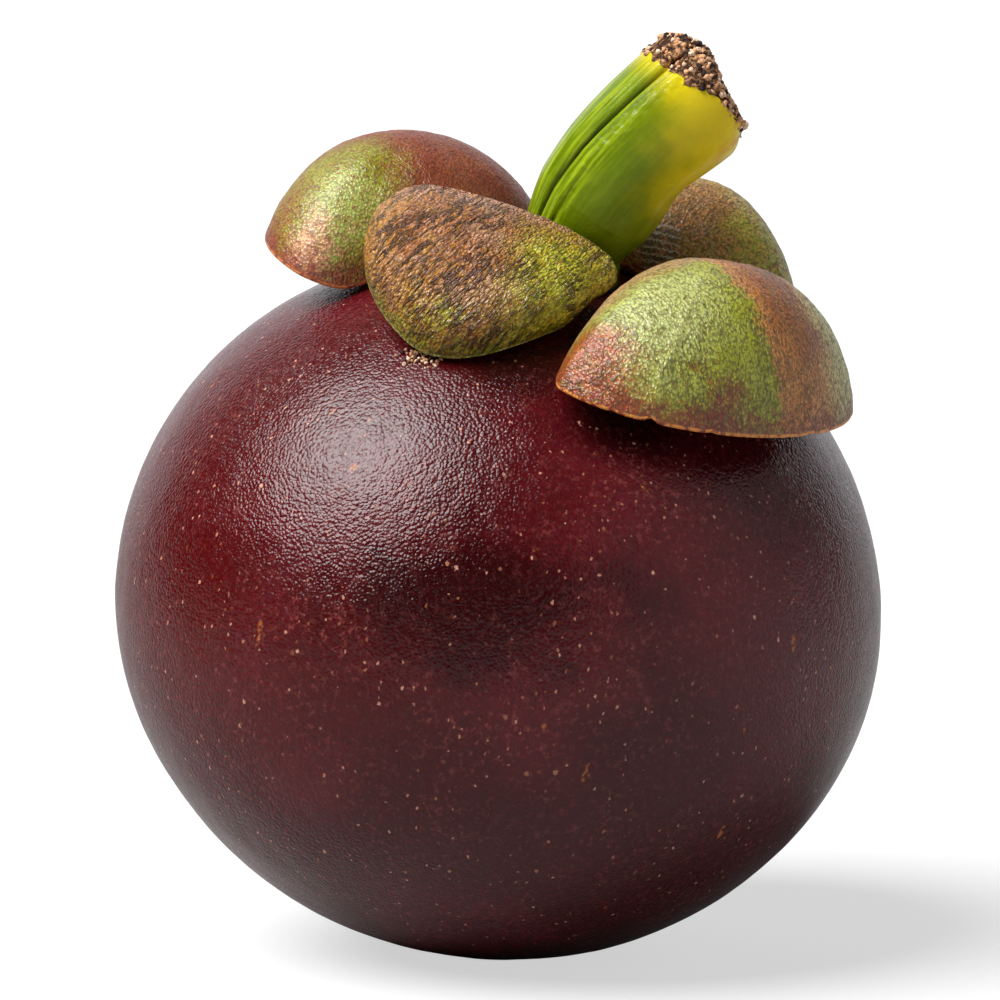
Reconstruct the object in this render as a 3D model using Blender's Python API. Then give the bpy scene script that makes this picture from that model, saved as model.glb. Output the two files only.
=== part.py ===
"""A whole mangosteen: purple rind, four cupped leathery sepals, grooved stalk and woody stigma rosette.

The pieces are laid out in the fruit's own frame, in millimetres: its middle is the origin, +Z runs up its
axis to the stalk, and azimuths are counted in degrees from -Y towards +X. The fruit is then leaned over and
set down, so that the world's origin, in metres, is the middle of the flat spot that it rests on.
"""

from dataclasses import dataclass
import math

import bmesh
import bpy
from mathutils import Matrix, Vector

MM = 0.001

# Rind: a slightly flattened ball
RIND_RADIUS = 30.0
RIND_HALF_HEIGHT = 27.5
RIND_SEGMENTS = 64
RIND_ROWS = 32
LEAN_FORWARD = math.radians(14.0)
LEAN_RIGHT = math.radians(10.0)
REST_SPOT_RADIUS = 4.6

# Shallow pit at the blossom end, and the stigma rosette that fills it
PIT_RADIUS = 4.7
PIT_DEPTH = 1.2
PIT_WALL = 0.5
ROSETTE_RADIUS = 4.2
ROSETTE_LOBES = 6
ROSETTE_NOTCH = 0.34
ROSETTE_BACK = 0.35
ROSETTE_CROWN = 0.35
ROSETTE_SEGMENTS = 48
ROSETTE_RINGS = 5

# Sepals
SEPAL_WALL = 1.2
SEPAL_GAP = 0.7
LIP_DROP = 0.3
SEPAL_SEGMENTS = 44
SEPAL_RINGS = 9
TIP_FULLNESS = 2.0

# Stalk
STALK_FOOT_GAP = 0.35
STALK_CLEARANCE = 5.3
STALK_SEGMENTS = 36
STALK_ROWS = 14
STALK_BEND = (0.95, 0.0, 6.3)
STALK_END = (7.95, -0.35, 15.35)
STALK_RADII = (4.75, 4.05, 4.85, 5.15, 5.2, 5.2)
GROOVE_TURN = math.radians(15.0)
GROOVES = (
    (math.radians(-47.0), math.radians(11.0), 0.24),
    (math.radians(-8.0), math.radians(9.0), 0.05),
    (math.radians(125.0), math.radians(12.0), 0.12),
    (math.radians(-135.0), math.radians(10.0), 0.09),
)

# Broken corky end: a dome that slopes away from its heaped left side
CORK_RINGS = 5
CORK_HEIGHT = 1.3
CORK_SLOPE = 0.18
CORK_HEAP = 1.3
CORK_HEAP_PLACE = -3.0
CORK_HEAP_WIDTH = 2.2


@dataclass(frozen=True)
class Sepal:
    """One cupped sepal. Lengths are in millimetres, angles in degrees.

    The cup's middle stands at an azimuth and a distance from the fruit's axis. Its outline reaches left,
    right, out to the tip and back to the foot, and its rim lies in a plane that droops outwards and rolls
    sideways, except where the rind pushes it up and where the foot lifts. All its meridians meet at the
    crown. A curl past 90 degrees turns the rim in under the cup.
    """

    name: str
    azimuth: float
    distance: float
    yaw: float
    left: float
    right: float
    tip: float
    foot: float
    foot_shift: float
    foot_fullness: float
    rim_height: float
    droop: float
    roll: float
    crown_height: float
    crown_shift: tuple[float, float]
    curl: float
    foot_lift: float = 0.0

    def axes(self) -> tuple[Vector, Vector]:
        """Return the outline's sideways and outward directions in plan."""
        turn = math.radians(self.azimuth + self.yaw)
        return Vector((math.cos(turn), math.sin(turn), 0.0)), Vector((math.sin(turn), -math.cos(turn), 0.0))

    def middle(self) -> Vector:
        """Return the outline's middle in plan."""
        turn = math.radians(self.azimuth)
        return Vector((math.sin(turn), -math.cos(turn), 0.0)) * self.distance

    def crown(self) -> Vector:
        """Return the place in plan where the cup is highest."""
        sideways, outward = self.axes()
        return self.middle() + sideways * self.crown_shift[0] + outward * self.crown_shift[1]


SEPALS = (
    Sepal("sepal_front_left", azimuth=-39, distance=9.4, yaw=16, left=9.3, right=7.7, tip=8.2, foot=5.4,
          foot_shift=5.8, foot_fullness=2.3, rim_height=-3.3, droop=8, roll=-24.5, crown_height=6.3,
          crown_shift=(-5.0, -1.0), curl=114, foot_lift=1.2),
    Sepal("sepal_front_right", azimuth=52, distance=14.1, yaw=-7, left=14.2, right=15.3, tip=9.7, foot=7.4,
          foot_shift=0.6, foot_fullness=1.4, rim_height=-4.4, droop=2.5, roll=-5.5, crown_height=5.4,
          crown_shift=(0.0, 0.2), curl=76),
    Sepal("sepal_back_left", azimuth=-122, distance=14.2, yaw=-4.5, left=12.5, right=12.9, tip=9.4, foot=8.9,
          foot_shift=-3.5, foot_fullness=1.6, rim_height=-5.0, droop=-8.5, roll=9.5, crown_height=6.6,
          crown_shift=(0.5, 0.6), curl=83),
    Sepal("sepal_back_right", azimuth=137, distance=14.0, yaw=12, left=10.9, right=10.7, tip=9.0, foot=8.5,
          foot_shift=1.0, foot_fullness=1.9, rim_height=-4.0, droop=25, roll=4.5, crown_height=6.1,
          crown_shift=(-0.5, 0.3), curl=81),
)


def clear_scene() -> None:
    """Remove every object that the file already holds."""
    for obj in list(bpy.data.objects):
        bpy.data.objects.remove(obj, do_unlink=True)


def skin_material(name: str, colour: tuple[float, float, float], roughness: float) -> bpy.types.Material:
    """Return a Principled material of one colour."""
    material = bpy.data.materials.new(name)
    material.use_nodes = True
    shader = material.node_tree.nodes["Principled BSDF"]
    shader.inputs["Base Color"].default_value = (*colour, 1.0)
    shader.inputs["Roughness"].default_value = roughness
    shader.inputs["Metallic"].default_value = 0.0
    return material


def soft_max(first: float, second: float, width: float) -> float:
    """Return the larger of two numbers, with the corner between them rounded over a width."""
    return 0.5 * (first + second + math.sqrt((first - second) ** 2 + width * width))


def signed_power(value: float, power: float) -> float:
    """Return a number's size to a power, with the number's own sign."""
    return math.copysign(abs(value) ** power, value)


def rind_height(radius: float) -> float:
    """Return the height of the rind's upper half at a distance from the fruit's axis."""
    share = min(radius / RIND_RADIUS, 0.995)
    return RIND_HALF_HEIGHT * math.sqrt(1.0 - share * share)


def loft(name: str, rings: list[list[Vector]], material: bpy.types.Material) -> bpy.types.Object:
    """Skin a row of rings, each of one point or of as many points as the others, into one closed object."""
    mesh = bmesh.new()
    rows = [[mesh.verts.new(point) for point in ring] for ring in rings]
    for row, next_row in zip(rows, rows[1:]):
        count = max(len(row), len(next_row))
        for i in range(count):
            j = (i + 1) % count
            near = [row[i % len(row)], row[j % len(row)]]
            far = [next_row[j % len(next_row)], next_row[i % len(next_row)]]
            mesh.faces.new(dict.fromkeys(near + far))
    bmesh.ops.recalc_face_normals(mesh, faces=mesh.faces)
    data = bpy.data.meshes.new(name)
    mesh.to_mesh(data)
    mesh.free()
    data.shade_smooth()
    obj = bpy.data.objects.new(name, data)
    obj.data.materials.append(material)
    bpy.context.collection.objects.link(obj)
    return obj


def round_ring(radius: float, height: float, segments: int) -> list[Vector]:
    """Return a level ring of points round the fruit's axis."""
    turns = [2.0 * math.pi * i / segments for i in range(segments)]
    return [Vector((radius * math.sin(turn), -radius * math.cos(turn), height)) for turn in turns]


def make_rind() -> bpy.types.Object:
    """Make the rind, with the shallow pit for the rosette at its blossom end."""
    rings = [[Vector((0.0, 0.0, RIND_HALF_HEIGHT))]]
    pit_edge = math.asin((PIT_RADIUS + PIT_WALL) / RIND_RADIUS)
    for row in range(1, RIND_ROWS + 1):
        fall = (math.pi - pit_edge) * row / RIND_ROWS
        height = RIND_HALF_HEIGHT * math.cos(fall)
        rings.append(round_ring(RIND_RADIUS * math.sin(fall), height, RIND_SEGMENTS))
    for radius in (PIT_RADIUS, PIT_RADIUS / 2):
        rings.append(round_ring(radius, PIT_DEPTH - rind_height(radius), RIND_SEGMENTS))
    rings.append([Vector((0.0, 0.0, PIT_DEPTH - RIND_HALF_HEIGHT))])
    return loft("rind", rings, skin_material("rind_skin", (0.085, 0.018, 0.022), 0.38))


def sepal_outline(sepal: Sepal, inset: float) -> list[Vector]:
    """Return the plan of a sepal's rim, set in from its edge and kept clear of the stalk."""
    sideways, outward = sepal.axes()
    points = []
    for i in range(SEPAL_SEGMENTS):
        turn = 2.0 * math.pi * i / SEPAL_SEGMENTS
        across, along = math.sin(turn), math.cos(turn)
        fullness = TIP_FULLNESS if along >= 0.0 else sepal.foot_fullness
        half_width = sepal.right if across >= 0.0 else sepal.left
        reach = sepal.tip if along >= 0.0 else sepal.foot
        v = reach * signed_power(along, 2.0 / fullness)
        u = half_width * signed_power(across, 2.0 / fullness)
        if along < 0.0:
            u += sepal.foot_shift * (v / reach) ** 2
        offset = sideways * u + outward * v
        point = sepal.middle() + offset * (1.0 - inset / offset.length)
        radius = point.length
        points.append(point * (soft_max(radius, STALK_CLEARANCE + inset, 0.5) / radius))
    return points


def rim_level(sepal: Sepal, point: Vector) -> float:
    """Return the rim's height over a point of the plan: its own plane, or clear of the rind if higher."""
    sideways, outward = sepal.axes()
    offset = point - sepal.middle()
    along = offset.dot(outward)
    plane = RIND_HALF_HEIGHT + sepal.rim_height
    plane -= math.tan(math.radians(sepal.droop)) * along
    plane += math.tan(math.radians(sepal.roll)) * offset.dot(sideways)
    radius = math.hypot(point.x, point.y)
    lift = sepal.foot_lift * min(along / sepal.foot, 0.0) ** 2
    return soft_max(plane, rind_height(radius) + SEPAL_GAP, 0.8) + lift


def sepal_rim(sepal: Sepal, inset: float) -> list[Vector]:
    """Return the rim of one face of a sepal, at its own height."""
    tuck = math.sin(math.radians(sepal.curl)) / math.sin(math.radians(min(sepal.curl, 90.0)))
    crown = sepal.crown()
    rim = [crown.lerp(point, tuck) for point in sepal_outline(sepal, inset)]
    for point in rim:
        point.z = rim_level(sepal, point)
    return rim


def sepal_dome(sepal: Sepal, inset: float, sink: float) -> list[list[Vector]]:
    """Return the rings of one face of a sepal, from its crown to its rim."""
    outline = sepal_outline(sepal, inset)
    levels = [point.z for point in sepal_rim(sepal, inset)]
    crown = sepal.crown()
    top = RIND_HALF_HEIGHT + sepal.crown_height - sink
    curl = math.radians(sepal.curl)
    widest = min(curl, 0.5 * math.pi)
    rings = [[Vector((crown.x, crown.y, top))]]
    for ring in range(1, SEPAL_RINGS + 1):
        bend = curl * ring / SEPAL_RINGS
        spread = math.sin(bend) / math.sin(widest)
        height = (math.cos(bend) - math.cos(curl)) / (1.0 - math.cos(curl))
        row = []
        for point, level in zip(outline, levels):
            place = crown.lerp(point, spread)
            place.z = level + (top - level) * height
            row.append(place)
        rings.append(row)
    return rings


def make_sepal(sepal: Sepal, material: bpy.types.Material) -> bpy.types.Object:
    """Make one sepal: its outer face, its rounded lip and its hollow inner face."""
    outer = sepal_dome(sepal, 0.0, 0.0)
    inner = sepal_dome(sepal, SEPAL_WALL, SEPAL_WALL)
    drop = Vector((0.0, 0.0, LIP_DROP))
    lip = [point - drop for point in sepal_rim(sepal, 0.5 * SEPAL_WALL)]
    return loft(sepal.name, outer + [lip] + inner[::-1], material)


def blend_along(values: tuple[float, ...], share: float) -> float:
    """Return a value from an evenly spaced row of them, at a share of its length."""
    place = share * (len(values) - 1)
    i = min(int(place), len(values) - 2)
    return values[i] + (values[i + 1] - values[i]) * (place - i)


def stalk_frame(share: float) -> tuple[Vector, Vector, Vector]:
    """Return the stalk's centre line, and its rightward and forward directions, at a share of its length."""
    foot = Vector((0.0, 0.0, RIND_HALF_HEIGHT + STALK_FOOT_GAP))
    bend = foot + Vector(STALK_BEND)
    end = foot + Vector(STALK_END)
    centre = foot.lerp(bend, share).lerp(bend.lerp(end, share), share)
    along = ((bend - foot).lerp(end - bend, share)).normalized()
    forward = Vector((0.0, -1.0, 0.0))
    return centre, along.cross(forward).normalized(), forward


def stalk_ring(share: float) -> list[Vector]:
    """Return one cross-section of the stalk, with its long grooves."""
    centre, rightward, forward = stalk_frame(share)
    radius = blend_along(STALK_RADII, share)
    points = []
    for i in range(STALK_SEGMENTS):
        turn = 2.0 * math.pi * i / STALK_SEGMENTS - math.pi
        reach = radius
        for place, width, depth in GROOVES:
            away = (turn - place - GROOVE_TURN * share) / width
            reach -= radius * depth * math.exp(-away * away)
        points.append(centre + rightward * reach * math.sin(turn) + forward * reach * math.cos(turn))
    return points


def make_stalk() -> bpy.types.Object:
    """Make the stalk: a foot that follows the rind, a leaning grooved shaft and a heaped corky end."""
    shaft = [stalk_ring(row / STALK_ROWS) for row in range(STALK_ROWS + 1)]
    for point in shaft[0]:
        point.z = rind_height(math.hypot(point.x, point.y)) + STALK_FOOT_GAP
    centre, rightward, forward = stalk_frame(1.0)
    along = forward.cross(rightward).normalized()
    cork = []
    for ring in range(1, CORK_RINGS + 1):
        bend = 0.5 * math.pi * ring / CORK_RINGS
        row = []
        for point in shaft[-1]:
            offset = (point - centre) * math.cos(bend)
            across = offset.dot(rightward)
            heap = CORK_HEAP * math.exp(-(((across - CORK_HEAP_PLACE) / CORK_HEAP_WIDTH) ** 2))
            rise = (CORK_HEIGHT + heap) * math.sin(bend) - CORK_SLOPE * across
            row.append(centre + offset + along * rise)
        cork.append(row)
    cork[-1] = cork[-1][:1]
    foot = Vector((0.0, 0.0, RIND_HALF_HEIGHT + STALK_FOOT_GAP))
    return loft("stem", [[foot]] + shaft + cork, skin_material("stem_skin", (0.30, 0.42, 0.05), 0.35))


def rosette_reach(turn: float) -> float:
    """Return the rosette's radius at an azimuth: broad lobes with a narrow notch between neighbours."""
    notch = abs(math.cos(0.5 * ROSETTE_LOBES * turn)) ** 6
    return ROSETTE_RADIUS * (1.0 - ROSETTE_NOTCH * notch)


def make_rosette() -> bpy.types.Object:
    """Make the woody stigma rosette, flush with the rind at its edge and a little proud in its middle."""
    back = PIT_DEPTH - ROSETTE_BACK
    turns = [2.0 * math.pi * i / ROSETTE_SEGMENTS for i in range(ROSETTE_SEGMENTS)]
    upper, lower = [], []
    for ring in range(1, ROSETTE_RINGS + 1):
        share = ring / ROSETTE_RINGS
        top_row, bottom_row = [], []
        for turn in turns:
            reach = rosette_reach(turn) * share
            x, y = reach * math.sin(turn), -reach * math.cos(turn)
            seat = -rind_height(reach)
            top_row.append(Vector((x, y, seat + back)))
            bottom_row.append(Vector((x, y, seat - ROSETTE_CROWN * (1.0 - share * share))))
        upper.append(top_row)
        lower.append(bottom_row)
    rings = [[Vector((0.0, 0.0, back - RIND_HALF_HEIGHT))]] + upper + lower[::-1]
    rings.append([Vector((0.0, 0.0, -ROSETTE_CROWN - RIND_HALF_HEIGHT))])
    return loft("stigma_rosette", rings, skin_material("stigma_bark", (0.09, 0.05, 0.03), 0.8))


def resting_matrix() -> Matrix:
    """Return the move from the fruit's own frame, in millimetres, to the world, in metres, at rest."""
    lean = Matrix.Rotation(LEAN_RIGHT, 4, "Y") @ Matrix.Rotation(LEAN_FORWARD, 4, "X")
    down = lean.to_3x3().transposed() @ Vector((0.0, 0.0, -1.0))
    axes = Matrix.Diagonal((RIND_RADIUS, RIND_RADIUS, RIND_HALF_HEIGHT))
    reach = axes @ down
    support = (axes @ reach) / reach.length
    lowest = lean @ support
    cut = 0.5 * REST_SPOT_RADIUS**2 * RIND_HALF_HEIGHT / RIND_RADIUS**2
    return Matrix.Scale(MM, 4) @ Matrix.Translation(-lowest - Vector((0.0, 0.0, cut))) @ lean


def cut_rest_spot(rind: bpy.types.Object) -> None:
    """Cut the rind flat at the floor."""
    mesh = bmesh.new()
    mesh.from_mesh(rind.data)
    everything = mesh.verts[:] + mesh.edges[:] + mesh.faces[:]
    result = bmesh.ops.bisect_plane(mesh, geom=everything, dist=1e-6, plane_co=(0, 0, 0),
                                    plane_no=(0, 0, -1), clear_outer=True)
    rim = [piece for piece in result["geom_cut"] if isinstance(piece, bmesh.types.BMEdge)]
    spot = bmesh.ops.edgeloop_fill(mesh, edges=rim)["faces"]
    for face in spot:
        face.smooth = False
    for edge in rim:
        edge.smooth = False
    bmesh.ops.recalc_face_normals(mesh, faces=mesh.faces)
    mesh.to_mesh(rind.data)
    mesh.free()


def main() -> None:
    """Build the fruit and set it down on its flat spot."""
    clear_scene()
    rind = make_rind()
    pieces = [rind, make_stalk(), make_rosette()]
    leather = skin_material("sepal_leather", (0.20, 0.17, 0.06), 0.5)
    for sepal in SEPALS:
        pieces.append(make_sepal(sepal, leather))
    placement = resting_matrix()
    for piece in pieces:
        piece.data.transform(placement)
    cut_rest_spot(rind)


main()
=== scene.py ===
"""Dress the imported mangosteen: rind, four leathery sepals, grooved stalk, stigma rosette, grains and crumbs.

Shapes are worked out in the fruit's own frame, in millimetres: its middle is the origin, +Z runs up its axis
to the stalk, and azimuths are counted in degrees from -Y towards +X. FruitFrame moves them to the row frame.
"""

from collections.abc import Callable, Sequence
from dataclasses import dataclass
from enum import Enum
import logging
import math

import bmesh
import bpy
from mathutils import Matrix, Quaternion, Vector, noise
import numpy as np


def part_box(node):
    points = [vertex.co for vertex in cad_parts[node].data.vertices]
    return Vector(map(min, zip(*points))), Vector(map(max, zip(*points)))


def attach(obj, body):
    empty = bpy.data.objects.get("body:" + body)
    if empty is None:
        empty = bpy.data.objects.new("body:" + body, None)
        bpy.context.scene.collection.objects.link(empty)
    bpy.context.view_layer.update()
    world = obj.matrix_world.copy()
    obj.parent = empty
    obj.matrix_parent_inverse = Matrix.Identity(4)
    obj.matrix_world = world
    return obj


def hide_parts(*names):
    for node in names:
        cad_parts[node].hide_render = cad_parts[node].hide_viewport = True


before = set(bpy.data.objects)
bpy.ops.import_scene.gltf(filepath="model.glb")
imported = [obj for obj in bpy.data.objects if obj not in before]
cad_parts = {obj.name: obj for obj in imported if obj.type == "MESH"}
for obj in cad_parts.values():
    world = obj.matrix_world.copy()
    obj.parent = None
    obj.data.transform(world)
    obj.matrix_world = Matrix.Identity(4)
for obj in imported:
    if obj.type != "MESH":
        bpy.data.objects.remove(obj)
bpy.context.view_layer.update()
MM = 0.001
BODY = "root"

# The marks that vertices carry for the finishes: the place in the fruit's frame, the place on a sepal, the
# place along the stalk, how corky it is there, and each grain's own shade.
HOME, PETAL, SHAFT, CORK, GRAIN = "home", "petal", "shaft", "cork", "grain"

log = logging.getLogger("mangosteen")

Pair = tuple[float, float]
Triple = tuple[float, float, float]
Colour = Triple
Marks = dict[str, np.ndarray]
Socket = bpy.types.NodeSocket


class Slot(Enum):
    """The record's material slots."""

    RIND = "rind"
    SEPAL = "sepal"
    STEM = "stem"
    STIGMA = "stigma"


def tint(red: float, green: float, blue: float) -> Colour:
    """Return a scene colour from display values out of 255.

    Args:
        red: Red as shown on a display.
        green: Green as shown on a display.
        blue: Blue as shown on a display.

    Returns:
        The same colour in linear light.
    """
    shares = (value / 255.0 for value in (red, green, blue))
    return tuple(((value + 0.055) / 1.055) ** 2.4 if value > 0.04 else value / 12.92 for value in shares)


def soft_max(first: np.ndarray, second: np.ndarray | float, width: float) -> np.ndarray:
    """Return the larger of two values, with the corner between them rounded over a width."""
    return 0.5 * (first + second + np.sqrt((first - second) ** 2 + width * width))


def signed_power(value: np.ndarray, power: np.ndarray) -> np.ndarray:
    """Return values' sizes to a power, with their own signs."""
    return np.sign(value) * np.abs(value) ** power


def smooth_step(value: np.ndarray | float) -> np.ndarray | float:
    """Return a share eased at both ends and held between 0 and 1."""
    held = np.clip(value, 0.0, 1.0)
    return held * held * (3.0 - 2.0 * held)


def around(turns: np.ndarray, reach: np.ndarray | float) -> np.ndarray:
    """Return plan points at azimuths, in radians, and distances from the axis."""
    return np.column_stack((reach * np.sin(turns), -reach * np.cos(turns)))


def on_axis(height: float) -> np.ndarray:
    """Return a ring of a single point on the axis."""
    return np.array([[0.0, 0.0, height]])


def lift(points: np.ndarray, heights: np.ndarray | float) -> np.ndarray:
    """Return plan points with heights as their third column."""
    flat = points[:, :2]
    return np.column_stack((flat, np.broadcast_to(heights, len(flat))))


@dataclass(frozen=True)
class FruitFrame:
    """The fruit's own frame and how it lies. Lengths are in millimetres, angles in degrees."""

    radius: float = 30.0
    half_height: float = 27.5
    widest_share: float = 0.995
    lean_forward: float = 14.0
    lean_right: float = 10.0

    def rind_height(self, reach: np.ndarray | float) -> np.ndarray | float:
        """Return the height of the rind's upper half at a distance from the axis."""
        share = np.minimum(np.asarray(reach) / self.radius, self.widest_share)
        return self.half_height * np.sqrt(1.0 - share * share)

    def lean(self) -> Matrix:
        """Return the turn from the fruit's own frame to the row frame."""
        forward = Matrix.Rotation(math.radians(self.lean_forward), 3, "X")
        return Matrix.Rotation(math.radians(self.lean_right), 3, "Y") @ forward

    def middle(self) -> Vector:
        """Find the fruit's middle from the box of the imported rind.

        Returns:
            The middle in the row frame, in metres.
        """
        low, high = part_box("rind")
        across_x, across_y, along = self.lean()[2]
        tall = math.hypot(self.radius * math.hypot(across_x, across_y), self.half_height * along)
        return Vector((0.5 * (low.x + high.x), 0.5 * (low.y + high.y), high.z - tall * MM))

    def place(self, points: np.ndarray) -> np.ndarray:
        """Move points from the fruit's own frame to the row frame.

        Args:
            points: Rows of x, y and z in millimetres.

        Returns:
            Rows of x, y and z in metres.
        """
        return points @ np.array(self.lean().transposed()) * MM + np.array(self.middle())


FRUIT = FruitFrame()


class Skin:
    """A mesh skinned over rings of points, with marks on its vertices for the finishes to read."""

    def __init__(self, name: str) -> None:
        """Start an empty skin.

        Args:
            name: The name that its object will have.
        """
        self.name = name
        self.points: list[np.ndarray] = []
        self.faces: list[tuple[int, ...]] = []
        self.marks: dict[str, list[np.ndarray]] = {}
        self.count = 0

    def add_points(self, points: np.ndarray, marks: Marks) -> int:
        """Add points and their marks.

        Args:
            points: Rows of x, y and z.
            marks: Rows of three values for each point, under each mark's name.

        Returns:
            The number of the first point that was added.
        """
        first = self.count
        self.points.append(points)
        for name, values in marks.items():
            self.marks.setdefault(name, []).append(values)
        self.count += len(points)
        return first

    def add_rings(self, rings: Sequence[np.ndarray], marks: dict[str, Sequence[np.ndarray]]) -> None:
        """Skin a closed row of rings, the first and last of which may be a single point.

        Args:
            rings: Rings of points, running on from each other.
            marks: A ring of marks for each ring of points, under each mark's name.
        """
        starts = [self.add_points(ring, {name: rows[i] for name, rows in marks.items()})
                  for i, ring in enumerate(rings)]
        for start, ring, next_start, next_ring in zip(starts, rings, starts[1:], rings[1:]):
            for i in range(max(len(ring), len(next_ring))):
                near = (start + i % len(ring), start + (i + 1) % len(ring))
                far = (next_start + (i + 1) % len(next_ring), next_start + i % len(next_ring))
                self.faces.append(tuple(dict.fromkeys(near + far)))

    def build(self, relief: Callable[[np.ndarray, Marks], np.ndarray] | None) -> bpy.types.Object:
        """Make the object, raise its relief and set it in the row frame.

        Args:
            relief: Heights along the normals, from the points and marks, or None for a plain surface.

        Returns:
            The finished object, smoothly shaded, still without a material.
        """
        points = np.concatenate(self.points)
        marks = {name: np.concatenate(rows) for name, rows in self.marks.items()}
        marks[HOME] = points
        mesh = bpy.data.meshes.new(self.name)
        mesh.from_pydata(points.tolist(), [], self.faces)
        mesh.shade_smooth()
        if relief is not None:
            normals = np.zeros(len(points) * 3, np.float32)
            mesh.vertices.foreach_get("normal", normals)
            points = points + normals.reshape(-1, 3) * relief(points, marks)[:, None]
        placed = FRUIT.place(points)
        placed[:, 2] = np.maximum(placed[:, 2], 0.0)
        mesh.vertices.foreach_set("co", placed.astype(np.float32).ravel())
        for name, values in marks.items():
            attribute = mesh.attributes.new(name, "FLOAT_VECTOR", "POINT")
            attribute.data.foreach_set("vector", np.asarray(values, np.float32).ravel())
        mesh.update()
        piece = bpy.data.objects.new(self.name, mesh)
        bpy.context.scene.collection.objects.link(piece)
        return piece


def fit_piece(piece: bpy.types.Object, material: bpy.types.Material, slot: Slot, *nodes: str) -> None:
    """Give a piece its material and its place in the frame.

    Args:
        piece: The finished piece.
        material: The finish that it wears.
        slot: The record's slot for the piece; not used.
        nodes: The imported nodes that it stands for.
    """
    piece.data.materials.append(material)
    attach(piece, BODY)
    if nodes:
        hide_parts(*nodes)
    stands_for = ", ".join(nodes) or "nothing"
    log.info("%s: %d faces, stands for %s", piece.name, len(piece.data.polygons), stands_for)


def rough(points: np.ndarray, size: Sequence[float], seed: float) -> np.ndarray:
    """Return smooth noise over points.

    Args:
        points: Rows of x, y and z.
        size: The noise's grain along x, y and z.
        seed: A shift that makes one noise unlike another.

    Returns:
        A value from about -1 to 1 for each point.
    """
    places = points / np.array(size) + seed
    return np.fromiter((noise.noise(place) for place in places.tolist()), float, len(places))


@dataclass(frozen=True)
class Cloud:
    """Noise turned into a share. The size of its grain is in millimetres.

    The share rises from start, where the noise is low, to its full value, where the noise is high.
    """

    size: float
    low: float
    high: float
    share: float = 1.0
    start: float = 0.0
    detail: float = 3.0
    ragged: float = 0.5


@dataclass(frozen=True)
class Spot:
    """A soft round spot: its middle and its reach along each axis, in millimetres."""

    place: Triple
    reach: Triple


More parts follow.
